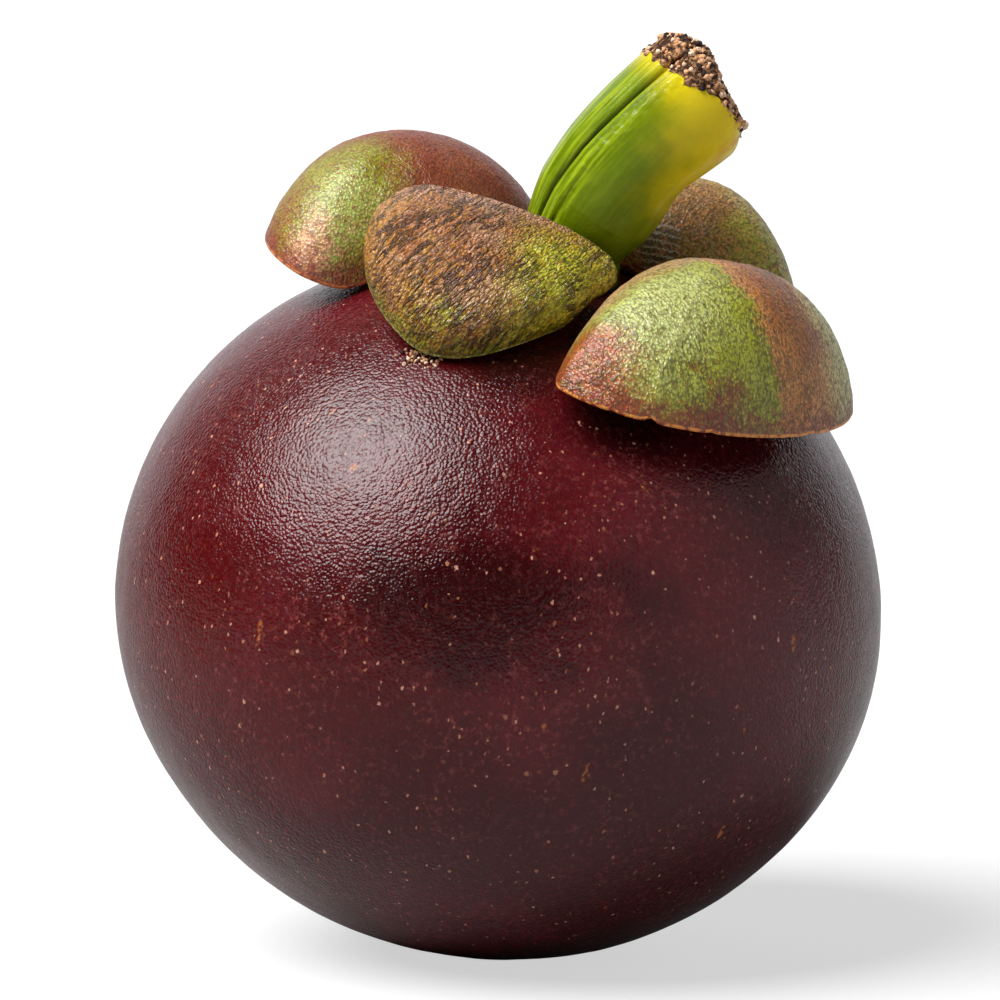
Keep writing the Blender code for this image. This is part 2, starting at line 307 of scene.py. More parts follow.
class Bench:
    """A material's node tree, with short ways to set and link its nodes."""

    # A colour mix has its share, its two colours and its result on these sockets.
    MIX_SHARE, MIX_UNDER, MIX_OVER, MIX_RESULT = 0, 6, 7, 2

    def __init__(self, name: str) -> None:
        """Start a material with an empty tree.

        Args:
            name: The material's name.
        """
        self.material = bpy.data.materials.new(name)
        self.material.use_nodes = True
        self.tree = self.material.node_tree
        self.tree.nodes.clear()

    def add(self, kind: str, inputs: dict, output: str | int = 0, **settings) -> Socket:
        """Add a node.

        Args:
            kind: Blender's name for the node's type.
            inputs: A value or a socket to link, under each input's name or number.
            output: The output wanted, by name or number.
            settings: The node's own properties.

        Returns:
            The output asked for.
        """
        node = self.tree.nodes.new(kind)
        for name, value in settings.items():
            setattr(node, name, value)
        for name, value in inputs.items():
            if isinstance(value, Socket):
                self.tree.links.new(value, node.inputs[name])
            elif isinstance(value, tuple) and len(value) == 3 and node.inputs[name].type == "RGBA":
                node.inputs[name].default_value = (*value, 1.0)
            else:
                node.inputs[name].default_value = value
        return node.outputs[output]

    def mark(self, name: str) -> Socket:
        """Return the vector that the vertices carry under a mark's name."""
        return self.add("ShaderNodeAttribute", {}, "Vector", attribute_name=name)

    def parts(self, vector: Socket) -> tuple[Socket, ...]:
        """Return a vector's three values."""
        self.add("ShaderNodeSeparateXYZ", {0: vector})
        return tuple(self.tree.nodes[-1].outputs)

    def math(self, operation: str, first: Socket | float, second: Socket | float = 0.0) -> Socket:
        """Return two values joined by an operation."""
        return self.add("ShaderNodeMath", {0: first, 1: second}, operation=operation)

    def vector(self, operation: str, *vectors: Socket | Triple) -> Socket:
        """Return vectors joined by an operation."""
        return self.add("ShaderNodeVectorMath", dict(enumerate(vectors)), operation=operation)

    def length(self, vector: Socket) -> Socket:
        """Return a vector's length."""
        return self.add("ShaderNodeVectorMath", {0: vector}, "Value", operation="LENGTH")

    def stretch(self, vector: Socket, scale: Triple, turn: float = 0.0, axis: str = "Z_AXIS") -> Socket:
        """Return a vector turned about an axis, in degrees, and then scaled."""
        inputs = {"Vector": vector, "Angle": math.radians(turn)}
        return self.vector("MULTIPLY", self.add("ShaderNodeVectorRotate", inputs, rotation_type=axis), scale)

    def noise(self, where: Socket, size: float, detail: float = 3.0, ragged: float = 0.5) -> Socket:
        """Return noise from 0 to 1 whose grain is of a size."""
        inputs = {"Vector": where, "Scale": 1.0 / size, "Detail": detail, "Roughness": ragged}
        return self.add("ShaderNodeTexNoise", inputs, "Fac")

    def cells(self, where: Socket, size: float, output: str = "Distance") -> Socket:
        """Return a value of a pattern of cells of a size."""
        return self.add("ShaderNodeTexVoronoi", {"Vector": where, "Scale": 1.0 / size}, output)

    def drift(self, where: Socket, size: float) -> Socket:
        """Return a vector that wanders evenly round zero, with a grain of a size."""
        inputs = {"Vector": where, "Scale": 1.0 / size, "Detail": 3.0}
        return self.vector("SUBTRACT", self.add("ShaderNodeTexNoise", inputs, "Color"), (0.5, 0.5, 0.5))

    def near(self, where: Socket, spot: Spot) -> Socket:
        """Return the distance from a spot's middle, as a share of its reach."""
        return self.length(self.vector("DIVIDE", self.vector("SUBTRACT", where, spot.place), spot.reach))

    def span(self, value: Socket, low: float, high: float, start: float = 0.0, end: float = 1.0) -> Socket:
        """Return a value eased from start at low to end at high, and held beyond them."""
        inputs = {"Value": value, "From Min": low, "From Max": high, "To Min": start, "To Max": end}
        return self.add("ShaderNodeMapRange", inputs, interpolation_type="SMOOTHSTEP")

    def cloud(self, where: Socket, cloud: Cloud) -> Socket:
        """Return a cloud's share at each place."""
        grain = self.noise(where, cloud.size, cloud.detail, cloud.ragged)
        return self.span(grain, cloud.low, cloud.high, cloud.start, cloud.share)

    def mix(self, share: Socket | float, under: Socket | Colour, over: Socket | Colour) -> Socket:
        """Return a colour with a share of another laid over it."""
        inputs = {self.MIX_SHARE: share, self.MIX_UNDER: under, self.MIX_OVER: over}
        return self.add("ShaderNodeMix", inputs, self.MIX_RESULT, data_type="RGBA")

    def wash(self, under: Socket, over: Socket | Colour, value: Socket, low: float, high: float,
             share: float = 1.0) -> Socket:
        """Return a colour with another that comes in over it as a value goes from low to high."""
        return self.mix(self.span(value, low, high, 0.0, share), under, over)

    def shade(self, colour: Socket, value: float) -> Socket:
        """Return a colour made lighter or darker."""
        return self.add("ShaderNodeHueSaturation", {"Color": colour, "Value": value}, "Color")

    def bump(self, height: Socket, depth: float, under: Socket | None = None) -> Socket:
        """Tilt a normal by a height.

        Args:
            height: The height, from 0 to 1.
            depth: What a height of 1 stands for, in millimetres.
            under: The normal to tilt, or None for the surface's own.

        Returns:
            The tilted normal.
        """
        inputs = {"Height": height, "Distance": depth * MM, "Strength": 1.0}
        if under is not None:
            inputs["Normal"] = under
        return self.add("ShaderNodeBump", inputs)

    def add_output(self, shader: Socket) -> None:
        """Link a shader to the material's output."""
        output = self.tree.nodes.new("ShaderNodeOutputMaterial")
        self.tree.links.new(shader, output.inputs["Surface"])

    def finish(self, colour: Socket, roughness: Socket, normal: Socket,
               specular: float) -> bpy.types.Material:
        """Close the tree with a shader.

        Args:
            colour: The surface's colour.
            roughness: Its roughness.
            normal: Its bumped normal.
            specular: The strength of its gloss.

        Returns:
            The finished material.
        """
        inputs = {"Base Color": colour, "Roughness": roughness, "Normal": normal,
                  "Specular IOR Level": specular}
        self.add_output(self.add("ShaderNodeBsdfPrincipled", inputs))
        return self.material


@dataclass(frozen=True)
class RindFinish:
    """Dark purple-brown leathery rind, redder on one side, with pale specks and small rusty scars.

    Sizes are in millimetres. The reds of the red side run between the two places of side, counted towards +X,
    and wander by its drift. Each row of specks gives their spacing, their size as a share of it, and how many
    of them show. Showers are places where specks crowd.
    """

    dark: Colour = tint(70, 8, 12)
    plum: Colour = tint(92, 19, 27)
    red: Colour = tint(80, 4, 4)
    speck: Colour = tint(206, 150, 126)
    scar: Colour = tint(188, 104, 44)
    # Painted shade: the dark colour of the band across the rind's front and of the shadows under the front
    # sepals.
    painted_shade: Colour = tint(34, 3, 4)
    haze: Colour = tint(150, 74, 70)
    clouds: Cloud = Cloud(16.0, 0.4, 0.64, detail=4.0)
    side: Pair = (3.0, -12.0)
    side_share: float = 0.85
    side_drift: float = 26.0
    side_grain: float = 7.0
    mottle_size: float = 1.3
    mottle_share: float = 0.4
    speckle: Cloud = Cloud(0.45, 0.4, 0.65, 0.4, ragged=0.6)
    speckle_shade: float = 0.55
    painted_shade_spot: Spot = Spot((-0.5, -28.0, 9.6), (14.0, 30.0, 6.6))
    painted_shade_drift: Cloud = Cloud(5.0, 0.3, 0.7, 0.3, start=-0.3, detail=4.0)
    painted_shade_share: float = 0.75
    # Painted shadows on the rind under the two front sepals.
    sepal_shadows: tuple[Spot, ...] = (
        Spot((-1.9, -14.0, 24.0), (4.5, 5.0, 3.0)), Spot((6.2, -17.0, 21.6), (6.0, 6.0, 2.4)))
    sepal_shadow_share: float = 0.8
    crowd: Cloud = Cloud(5.0, 0.35, 0.62, 0.8, start=0.3, detail=2.0)
    showers: tuple[Spot, ...] = (
        Spot((8.9, -19.6, 18.0), (9.0, 9.0, 4.5)), Spot((0.5, -30.0, 1.2), (7.0, 9.0, 3.6)),
        Spot((-13.0, -25.6, 6.0), (5.0, 8.0, 3.0)))
    shower_share: float = 1.3
    haze_cloud: Cloud = Cloud(0.5, 0.5, 0.72, 0.5, detail=5.0, ragged=0.7)
    specks: tuple[Triple, ...] = ((1.0, 0.15, 0.9), (2.2, 0.09, 1.0), (0.62, 0.19, 0.6))
    speck_shake: float = 0.4
    speck_shape: Triple = (1.0, 1.0, 0.7)
    scar_spacing: float = 2.6
    scar_shape: Triple = (1.0, 1.0, 0.2)
    scar_crowd: float = 0.75
    scar_share: float = 0.8
    scar_breaks: Cloud = Cloud(0.4, 0.42, 0.58)
    lump_size: float = 1.6
    lump_depth: float = 0.05
    dimple_size: float = 0.27
    dimple_depth: float = 0.048
    pore_size: float = 0.15
    pore_depth: float = 0.026
    roughness: Cloud = Cloud(2.5, 0.3, 0.7, 0.22, start=0.15, detail=4.0)
    specular: float = 0.38

    def build(self) -> bpy.types.Material:
        """Set up the rind's material.

        Returns:
            The finished material.
        """
        bench = Bench("rind_leather")
        home = bench.mark(HOME)
        colour = bench.mix(bench.cloud(home, self.clouds), self.dark, self.plum)
        across, _, _ = bench.parts(home)
        drift = bench.math("MULTIPLY", bench.noise(home, self.side_grain, 4.0), self.side_drift)
        side = bench.span(bench.math("ADD", across, drift), *self.side)
        colour = bench.mix(bench.math("MULTIPLY", side, self.side_share), colour, self.red)
        mottle = bench.noise(home, self.mottle_size, 5.0, 0.65)
        colour = bench.wash(colour, self.red, mottle, 0.42, 0.75, self.mottle_share)
        colour = bench.wash(colour, self.dark, mottle, 0.6, 0.3, self.mottle_share)
        colour = bench.mix(bench.cloud(home, self.speckle), colour, bench.shade(colour, self.speckle_shade))
        # Painted shade: a dark band across the rind's front, fading out by the spot's reach and its drift.
        away = bench.math("ADD", bench.near(home, self.painted_shade_spot), bench.cloud(home, self.painted_shade_drift))
        colour = bench.wash(colour, self.painted_shade, away, 1.15, 0.2, self.painted_shade_share)
        # Painted shadows under the two front sepals, in the same dark colour.
        for hollow in self.sepal_shadows:
            colour = bench.wash(colour, self.painted_shade, bench.near(home, hollow), 1.2, 0.3, self.sepal_shadow_share)
        colour = self.add_marks(bench, home, colour)
        normal = bench.bump(bench.noise(home, self.lump_size, 2.0), self.lump_depth)
        normal = bench.bump(bench.cells(home, self.dimple_size), self.dimple_depth, normal)
        normal = bench.bump(bench.noise(home, self.pore_size, 1.0), self.pore_depth, normal)
        return bench.finish(colour, bench.cloud(home, self.roughness), normal, self.specular)

    def add_marks(self, bench: Bench, home: Socket, colour: Socket) -> Socket:
        """Add specks and scars.

        Args:
            bench: The material's bench.
            home: The place on the fruit.
            colour: The colour under the marks.

        Returns:
            The colour with the marks on it.
        """
        crowd = bench.cloud(home, self.crowd)
        for shower in self.showers:
            shown = bench.span(bench.near(home, shower), 1.3, 0.2, 0.0, self.shower_share)
            crowd = bench.math("MAXIMUM", crowd, shown)
        hazy = bench.math("MULTIPLY", bench.cloud(home, self.haze_cloud), crowd)
        colour = bench.mix(hazy, colour, self.haze)
        shaken = bench.vector("MULTIPLY_ADD", bench.drift(home, 0.3), (self.speck_shake,) * 3, home)
        short = bench.stretch(shaken, self.speck_shape)
        for spacing, reach, share in self.specks:
            chance, bright, _ = bench.parts(bench.cells(short, spacing, "Color"))
            chosen = bench.math("LESS_THAN", chance, bench.math("MULTIPLY", crowd, share))
            round_speck = bench.span(bench.cells(short, spacing), reach, 0.5 * reach)
            strength = bench.math("MULTIPLY", chosen, bench.math("MULTIPLY", round_speck, bright))
            colour = bench.mix(strength, colour, bench.mix(bright, self.scar, self.speck))
        long = bench.stretch(bench.vector("ADD", home, bench.drift(home, 1.1)), self.scar_shape)
        chance, _, _ = bench.parts(bench.cells(long, self.scar_spacing, "Color"))
        chosen = bench.math("LESS_THAN", chance, bench.math("MULTIPLY", crowd, self.scar_crowd))
        line = bench.math("MULTIPLY", chosen, bench.span(bench.cells(long, self.scar_spacing), 0.11, 0.03))
        line = bench.math("MULTIPLY", line, bench.cloud(home, self.scar_breaks))
        return bench.mix(bench.math("MULTIPLY", line, self.scar_share), colour, self.scar)


@dataclass(frozen=True)
class Rind:
    """The rind: a slightly flattened ball with a shallow pit at its blossom end."""

    segments: int = 400
    rows: int = 200
    wall_rows: int = 8
    floor_rows: int = 8
    pit_radius: float = 4.7
    pit_depth: float = 1.2
    pit_wall: float = 0.5
    pit_calm: float = 2.0
    smallest_ring: float = 1e-6
    waves: tuple[Pair, ...] = ((13.0, 0.11), (4.5, 0.05), (1.5, 0.022))

    def rings(self) -> list[np.ndarray]:
        """Lay out the rind from its stalk end to the bottom of its pit.

        Returns:
            A ring of points for each row, with a single point at either end.
        """
        turns = np.linspace(0.0, 2.0 * math.pi, self.segments, endpoint=False)
        edge = math.asin((self.pit_radius + self.pit_wall) / FRUIT.radius)
        falls = np.linspace(0.0, math.pi - edge, self.rows + 1)
        reaches = list(FRUIT.radius * np.sin(falls))
        heights = list(FRUIT.half_height * np.cos(falls))
        for row in range(1, self.wall_rows + self.floor_rows + 1):
            down = min(row / self.wall_rows, 1.0)
            inward = max(row - self.wall_rows, 0) / self.floor_rows
            reach = (self.pit_radius + self.pit_wall * (1.0 - down)) * (1.0 - inward)
            reaches.append(reach)
            heights.append(self.pit_depth * float(smooth_step(down)) - float(FRUIT.rind_height(reach)))
        rings = []
        for reach, height in zip(reaches, heights):
            ring = lift(around(turns, reach), height)
            rings.append(ring if reach > self.smallest_ring else ring[:1])
        return rings

    def relief(self, points: np.ndarray, marks: Marks) -> np.ndarray:
        """Work out the rind's slight waviness, calm inside the pit.

        Args:
            points: The rind's points.
            marks: Its marks, which it has no use for.

        Returns:
            A height for each point.
        """
        height = sum(size * rough(points, (grain,) * 3, grain) for grain, size in self.waves)
        outside = smooth_step((np.hypot(points[:, 0], points[:, 1]) - self.pit_radius) / self.pit_calm)
        return height * np.where(points[:, 2] < 0.0, outside, 1.0)

    def build(self) -> None:
        """Make and dress the rind."""
        skin = Skin("rind_skin")
        skin.add_rings(self.rings(), {})
        fit_piece(skin.build(self.relief), RindFinish().build(), Slot.RIND, "rind")


@dataclass(frozen=True)
class Patch:
    """A soft-edged patch of colour, placed in a sepal's plan from its middle, in millimetres and degrees."""

    colour: Colour
    place: Pair
    reach: Pair
    share: float = 1.0
    turn: float = 0.0
    softness: float = 0.45


@dataclass(frozen=True)
class SepalFinish:
    """Leathery sepal skin: a base colour with patches and a coloured rim, all broken up by pebbles.

    The pebbles are as wide and as long as grain says, in millimetres. The creases between them are darkened
    with a crease colour and painted shade, and some pebble tops are lightened with a fleck colour and painted
    highlights. The bands of the lip and the underside are shares of the way from the crown, 1 at the rim.
    """

    name: str
    base: Colour
    patches: tuple[Patch, ...]
    fleck: Colour
    spot: Colour
    crease: Colour
    lip: Colour
    margin: Colour
    underside: Colour = tint(104, 78, 30)
    mottle: Cloud = Cloud(2.4, 0.42, 0.68, 0.4, detail=5.0, ragged=0.6)
    fleck_and_highlight_share: float = 0.5
    highlight_lift: float = 1.5
    spot_share: float = 0.6
    crease_and_shade_share: float = 0.5
    crease_shade: float = 0.35
    margin_start: float = 0.88
    margin_share: float = 0.85
    fray: Cloud = Cloud(0.7, 0.3, 0.7, 0.07, start=-0.07, detail=4.0, ragged=0.65)
    wear: Cloud = Cloud(0.5, 0.45, 0.65, detail=4.0)
    lip_band: Pair = (0.99, 0.998)
    underside_band: Pair = (1.03, 1.08)
    ragged: float = 1.4
    wander: Triple = (4.0, 4.0, 0.0)
    wander_size: float = 2.6
    grain: Pair = (0.3, 0.42)
    grain_turn: float = 0.0
    grain_drift: float = 1.6
    grain_depth: float = 0.07
    pore_size: float = 0.2
    pore_depth: float = 0.04
    wrinkle_size: Pair = (0.6, 2.4)
    wrinkle_share: float = 0.15
    wrinkle_depth: float = 0.05
    lump_size: float = 1.1
    lump_depth: float = 0.06
    # Pale painted highlights in level stripes where the skin folds, and their spacing.
    lit_pleats: Patch | None = None
    pleat_pitch: float = 0.5
    gloss: float = 0.28
    gloss_loss: float = 0.18
    specular: float = 0.6

    def build(self) -> bpy.types.Material:
        """Set up the sepal's material.

        Returns:
            The finished material.
        """
        bench = Bench(self.name)
        home, petal = bench.mark(HOME), bench.mark(PETAL)
        sideways, outward, share = bench.parts(petal)
        _, _, height = bench.parts(home)
        solid = bench.add("ShaderNodeCombineXYZ", {0: sideways, 1: outward, 2: height})
        drift = (self.grain_drift,) * 3
        laid = bench.vector("MULTIPLY_ADD", bench.drift(home, 0.5), drift, self.lay(bench, solid, self.grain))
        pebble, tone = bench.cells(laid, 1.0), bench.cells(laid, 1.0, "Color")
        bent = self.bend(bench, home, petal, tone)
        colour = bench.mix(bench.cloud(home, self.mottle), self.base, self.fleck)
        for patch in self.patches:
            colour = bench.mix(self.cover(bench, bent, patch), colour, patch.colour)
        frayed = bench.math("ADD", share, bench.cloud(home, self.fray))
        colour = bench.wash(colour, self.margin, frayed, self.margin_start, 0.99, self.margin_share)
        # Some pebble tops are lightened, partly with the fleck colour and partly as painted highlight from a
        # lighter copy of the local colour.
        lighter, redder, _ = bench.parts(tone)
        picked = bench.span(lighter, 0.5, 0.9, 0.0, self.fleck_and_highlight_share)
        fleck_and_highlight = bench.math("MULTIPLY", bench.span(pebble, 0.6, 0.2), picked)
        colour = bench.mix(fleck_and_highlight, colour, bench.mix(0.45, bench.shade(colour, self.highlight_lift), self.fleck))
        colour = bench.wash(colour, self.spot, redder, 0.72, 0.9, self.spot_share)
        # Painted shade: the creases between pebbles and the wrinkles get the crease colour mixed with a darker
        # copy of the local colour.
        crease_and_shade = bench.mix(0.6, bench.shade(colour, self.crease_shade), self.crease)
        colour = bench.wash(colour, crease_and_shade, pebble, 0.45, 0.75, self.crease_and_shade_share)
        wrinkle = self.wrinkle(bench, home, solid)
        colour = bench.mix(wrinkle, colour, crease_and_shade)
        if self.lit_pleats:
            colour = self.add_pleat_highlights(bench, bent, height, colour)
        worn = bench.mix(bench.cloud(home, self.wear), self.lip, self.margin)
        colour = bench.wash(colour, worn, share, *self.lip_band)
        colour = bench.wash(colour, self.underside, share, *self.underside_band)
        normal = bench.bump(bench.noise(home, self.lump_size, 2.0), self.lump_depth)
        normal = bench.bump(bench.math("SUBTRACT", 1.0, pebble), self.grain_depth, normal)
        normal = bench.bump(bench.math("SUBTRACT", 1.0, wrinkle), self.wrinkle_depth, normal)
        normal = bench.bump(bench.noise(home, self.pore_size, 2.0, 0.6), self.pore_depth, normal)
        roughness = bench.span(pebble, 0.2, 0.7, self.gloss, self.gloss + self.gloss_loss)
        return bench.finish(colour, roughness, normal, self.specular)

    def lay(self, bench: Bench, solid: Socket, size: Pair) -> Socket:
        """Return a place counted in widths and lengths of a size, along the skin's own turn."""
        scale = (1.0 / size[0], 1.0 / size[1], 1.0 / size[1])
        return bench.stretch(solid, scale, self.grain_turn, "Y_AXIS")

    def bend(self, bench: Bench, home: Socket, petal: Socket, tone: Socket) -> Socket:
        """Make the place in the sepal's plan uneven, so that the patches' edges wander and fray.

        Args:
            bench: The material's bench.
            home: The place on the fruit.
            petal: The place on the sepal.
            tone: Each pebble's own random colour.

        Returns:
            The uneven place.
        """
        shaken = bench.vector("SUBTRACT", tone, (0.5, 0.5, 0.5))
        frayed = bench.vector("MULTIPLY_ADD", shaken, (self.ragged,) * 3, petal)
        return bench.vector("MULTIPLY_ADD", bench.drift(home, self.wander_size), self.wander, frayed)

    def cover(self, bench: Bench, bent: Socket, patch: Patch) -> Socket:
        """Work out how much of each place a patch covers.

        Args:
            bench: The material's bench.
            bent: The place in the sepal's plan, already made uneven.
            patch: The patch.

        Returns:
            The patch's share of the colour.
        """
        away = bench.vector("SUBTRACT", bent, (*patch.place, 0.0))
        scale = (1.0 / patch.reach[0], 1.0 / patch.reach[1], 0.0)
        distance = bench.length(bench.stretch(away, scale, patch.turn))
        return bench.span(distance, 1.0 + patch.softness, 1.0 - patch.softness, 0.0, patch.share)

    def wrinkle(self, bench: Bench, home: Socket, solid: Socket) -> Socket:
        """Work out where the dark wrinkles run, in some places more than in others.

        Args:
            bench: The material's bench.
            home: The place on the fruit.
            solid: The place on the sepal, with its height.

        Returns:
            The wrinkles' share of the colour.
        """
        folds = bench.noise(self.lay(bench, solid, self.wrinkle_size), 1.0, 3.0, 0.6)
        folds = bench.math("ABSOLUTE", bench.math("SUBTRACT", folds, 0.5))
        here = bench.cloud(home, Cloud(4.0, 0.42, 0.6, self.wrinkle_share, start=0.15, detail=2.0))
        return bench.math("MULTIPLY", bench.span(folds, 0.06, 0.01), here)

    def add_pleat_highlights(self, bench: Bench, bent: Socket, height: Socket, colour: Socket) -> Socket:
        """Lay pale painted highlights in level stripes over a colour.

        Args:
            bench: The material's bench.
            bent: The place in the sepal's plan.
            height: The height along the fruit's axis.
            colour: The colour under the stripes.

        Returns:
            The colour with the stripes on it.
        """
        uneven = bench.math("ADD", height, bench.noise(bent, 4.0, 2.0))
        wave = bench.math("SINE", bench.math("MULTIPLY", uneven, 2.0 * math.pi / self.pleat_pitch))
        pale = bench.math("MULTIPLY", bench.span(wave, 0.2, 0.9), self.cover(bench, bent, self.lit_pleats))
        return bench.mix(pale, colour, self.lit_pleats.colour)


@dataclass(frozen=True)
class SepalCup:
    """One cupped sepal. Lengths are in millimetres, angles in degrees.

    The cup's middle stands at an azimuth and a distance from the fruit's axis. Its outline reaches left,
    right, out to the tip and back to the foot. Its rim lies in a plane that droops outwards and rolls
    sideways, except where the rind pushes it up, where the foot lifts, and at its nicks, each of which has a
    turn, a width and a depth. A curl past 90 degrees turns the rim in. Ridges, lumps and waves raise its
    skin.
    """

    node: str
    finish: SepalFinish
    azimuth: float
    distance: float
    yaw: float
    left: float
    right: float
    tip: float
    foot: float
    foot_shift: float
    foot_fullness: float
    rim_height: float
    droop: float
    roll: float
    crown_height: float
    crown_shift: Pair
    curl: float
    foot_lift: float = 0.0
    sharpness: float = 0.0
    nicks: tuple[Triple, ...] = ()
    folds: float = 0.07
    fold_turn: float = 0.0
    ridge_share: float = 0.55
    ridge_grain: Triple = (0.75, 2.6, 1.6)
    lump_grain: Triple = (1.1, 1.1, 1.1)
    wave_grain: Triple = (4.5, 4.5, 4.5)
    wave_depth: float = 0.12
    rim_calm: float = 0.08
    segments: int = 280
    dome_rings: int = 84
    lip_rings: int = 8
    inner_rings: int = 30
    wall: float = 1.2
    lip_wall: float = 0.38
    gap: float = 0.7
    lip_drop: float = 0.22
    tip_fullness: float = 2.0
    stalk_clearance: float = 5.3
    stalk_rounding: float = 0.5
    rind_rounding: float = 0.8
    lip_band: float = 0.05
    inner_mark: float = 1.1

    def axes(self) -> tuple[np.ndarray, np.ndarray]:
        """Return the outline's sideways and outward directions in plan."""
        turn = math.radians(self.azimuth + self.yaw)
        return np.array((math.cos(turn), math.sin(turn))), np.array((math.sin(turn), -math.cos(turn)))

    def middle(self) -> np.ndarray:
        """Return the outline's middle in plan."""
        turn = math.radians(self.azimuth)
        return self.distance * np.array((math.sin(turn), -math.cos(turn)))

    def crown(self) -> np.ndarray:
        """Return the place in plan where the cup is highest."""
        sideways, outward = self.axes()
        return self.middle() + sideways * self.crown_shift[0] + outward * self.crown_shift[1]

    def turns(self) -> np.ndarray:
        """Return the turns of the outline's points."""
        return np.linspace(0.0, 2.0 * math.pi, self.segments, endpoint=False)

    def outline(self, inset: float) -> np.ndarray:
        """Return the plan of the rim, set in from its edge and kept clear of the stalk.

        Args:
            inset: How far the points lie inside the edge.

        Returns:
            Rows of x and y.
        """
        sideways, outward = self.axes()
        across, along = np.sin(self.turns()), np.cos(self.turns())
        fullness = np.where(along >= 0.0, self.tip_fullness, self.foot_fullness)
        power = 2.0 / (fullness - self.sharpness * np.maximum(across, 0.0) ** 2)
        reach = np.where(along >= 0.0, self.tip, self.foot)
        v = reach * signed_power(along, power)
        u = np.where(across >= 0.0, self.right, self.left) * signed_power(across, power)
        u = u + self.foot_shift * np.minimum(v / reach, 0.0) ** 2
        offset = np.outer(u, sideways) + np.outer(v, outward)
        length = np.linalg.norm(offset, axis=1)
        points = self.middle() + offset * (1.0 - inset / length)[:, None]
        radius = np.linalg.norm(points, axis=1)
        clear = soft_max(radius, self.stalk_clearance + inset, self.stalk_rounding)
        return points * (clear / radius)[:, None]

    def plan(self, points: np.ndarray) -> np.ndarray:
        """Return points' places along the sepal's sideways and outward directions from its middle."""
        offset = points[:, :2] - self.middle()
        return np.column_stack([offset @ axis for axis in self.axes()])

    def rim_level(self, points: np.ndarray) -> np.ndarray:
        """Work out the rim's height.

        Args:
            points: A ring of points in plan, one for each turn of the outline.

        Returns:
            The height over each point.
        """
        u, v = self.plan(points).T
        plane = FRUIT.half_height + self.rim_height
        plane = plane - math.tan(math.radians(self.droop)) * v + math.tan(math.radians(self.roll)) * u
        clear = FRUIT.rind_height(np.linalg.norm(points[:, :2], axis=1)) + self.gap
        raised = self.foot_lift * np.minimum(v / self.foot, 0.0) ** 2
        for place, width, depth in self.nicks:
            away = (self.turns() - math.radians(place)) / math.radians(width)
            raised = raised + depth * np.exp(-away * away)
        return soft_max(plane, clear, self.rind_rounding) + raised

    def rim(self, inset: float) -> np.ndarray:
        """Lay out the rim of one face.

        Args:
            inset: How far the face lies inside the outer one.

        Returns:
            Its points, at their own heights.
        """
        tuck = math.sin(math.radians(self.curl)) / math.sin(math.radians(min(self.curl, 90.0)))
        plan = self.crown() + (self.outline(inset) - self.crown()) * tuck
        return lift(plan, self.rim_level(plan))

    def dome(self, rings: int, lip_inset: float, inset: float) -> list[np.ndarray]:
        """Return the rings of one face, from its crown to its rim.

        Args:
            rings: How many rings to make.
            lip_inset: How far the face lies inside the outer one at the rim.
            inset: How far it lies inside the outer one over the rest of the cup.

        Returns:
            A ring of points for each step from the crown.
        """
        crown, curl = self.crown(), math.radians(self.curl)
        top = FRUIT.half_height + self.crown_height - inset
        made = [np.array([[*crown, top]])]
        for ring in range(1, rings + 1):
            share = ring / rings
            thin = lip_inset + (inset - lip_inset) * (1.0 - share**4)
            bend = curl * share
            spread = math.sin(bend) / math.sin(min(curl, 0.5 * math.pi))
            height = (math.cos(bend) - math.cos(curl)) / (1.0 - math.cos(curl))
            level = self.rim(thin)[:, 2]
            plan = crown + (self.outline(thin) - crown) * spread
            made.append(lift(plan, level + (top - level) * height))
        return made

    def relief(self, points: np.ndarray, marks: Marks) -> np.ndarray:
        """Work out the sepal's fine folds, which die away towards its rim and on its inner face.

        Args:
            points: The sepal's points.
            marks: Their places on the sepal.

        Returns:
            A height for each point.
        """
        u, v, share = marks[PETAL].T
        turn = math.radians(self.fold_turn)
        across, along = u * math.cos(turn) - v * math.sin(turn), u * math.sin(turn) + v * math.cos(turn)
        turned = np.column_stack((across, along, points[:, 2]))
        ridges = 1.0 - 2.0 * np.abs(rough(turned, self.ridge_grain, self.distance))
        lumps = rough(points, self.lump_grain, self.azimuth)
        waves = rough(points, self.wave_grain, self.yaw)
        folds = self.ridge_share * ridges + (1.0 - self.ridge_share) * lumps
        calm = smooth_step((1.0 - share) / self.rim_calm)
        return (self.folds * folds + self.wave_depth * waves) * calm

    def build(self) -> None:
        """Make and dress the sepal: its outer face, its rounded lip and its hollow inner face."""
        outer = self.dome(self.dome_rings, 0.0, 0.0)
        inner = self.dome(self.inner_rings, self.lip_wall, self.wall)[::-1]
        lip = []
        for ring in range(1, self.lip_rings):
            bend = math.pi * ring / self.lip_rings
            between = outer[-1] + (inner[0] - outer[-1]) * 0.5 * (1.0 - math.cos(bend))
            lip.append(between - np.array((0.0, 0.0, self.lip_drop * math.sin(bend))))
        rings = outer + lip + inner
        shares = ([ring / self.dome_rings for ring in range(len(outer))]
                  + [1.0 + self.lip_band * (ring + 1) / self.lip_rings for ring in range(len(lip))]
                  + [self.inner_mark] * len(inner))
        marks = [lift(self.plan(ring), share) for ring, share in zip(rings, shares)]
        skin = Skin(f"{self.node}_skin")
        skin.add_rings(rings, {PETAL: marks})
        fit_piece(skin.build(self.relief), self.finish.build(), Slot.SEPAL, self.node)


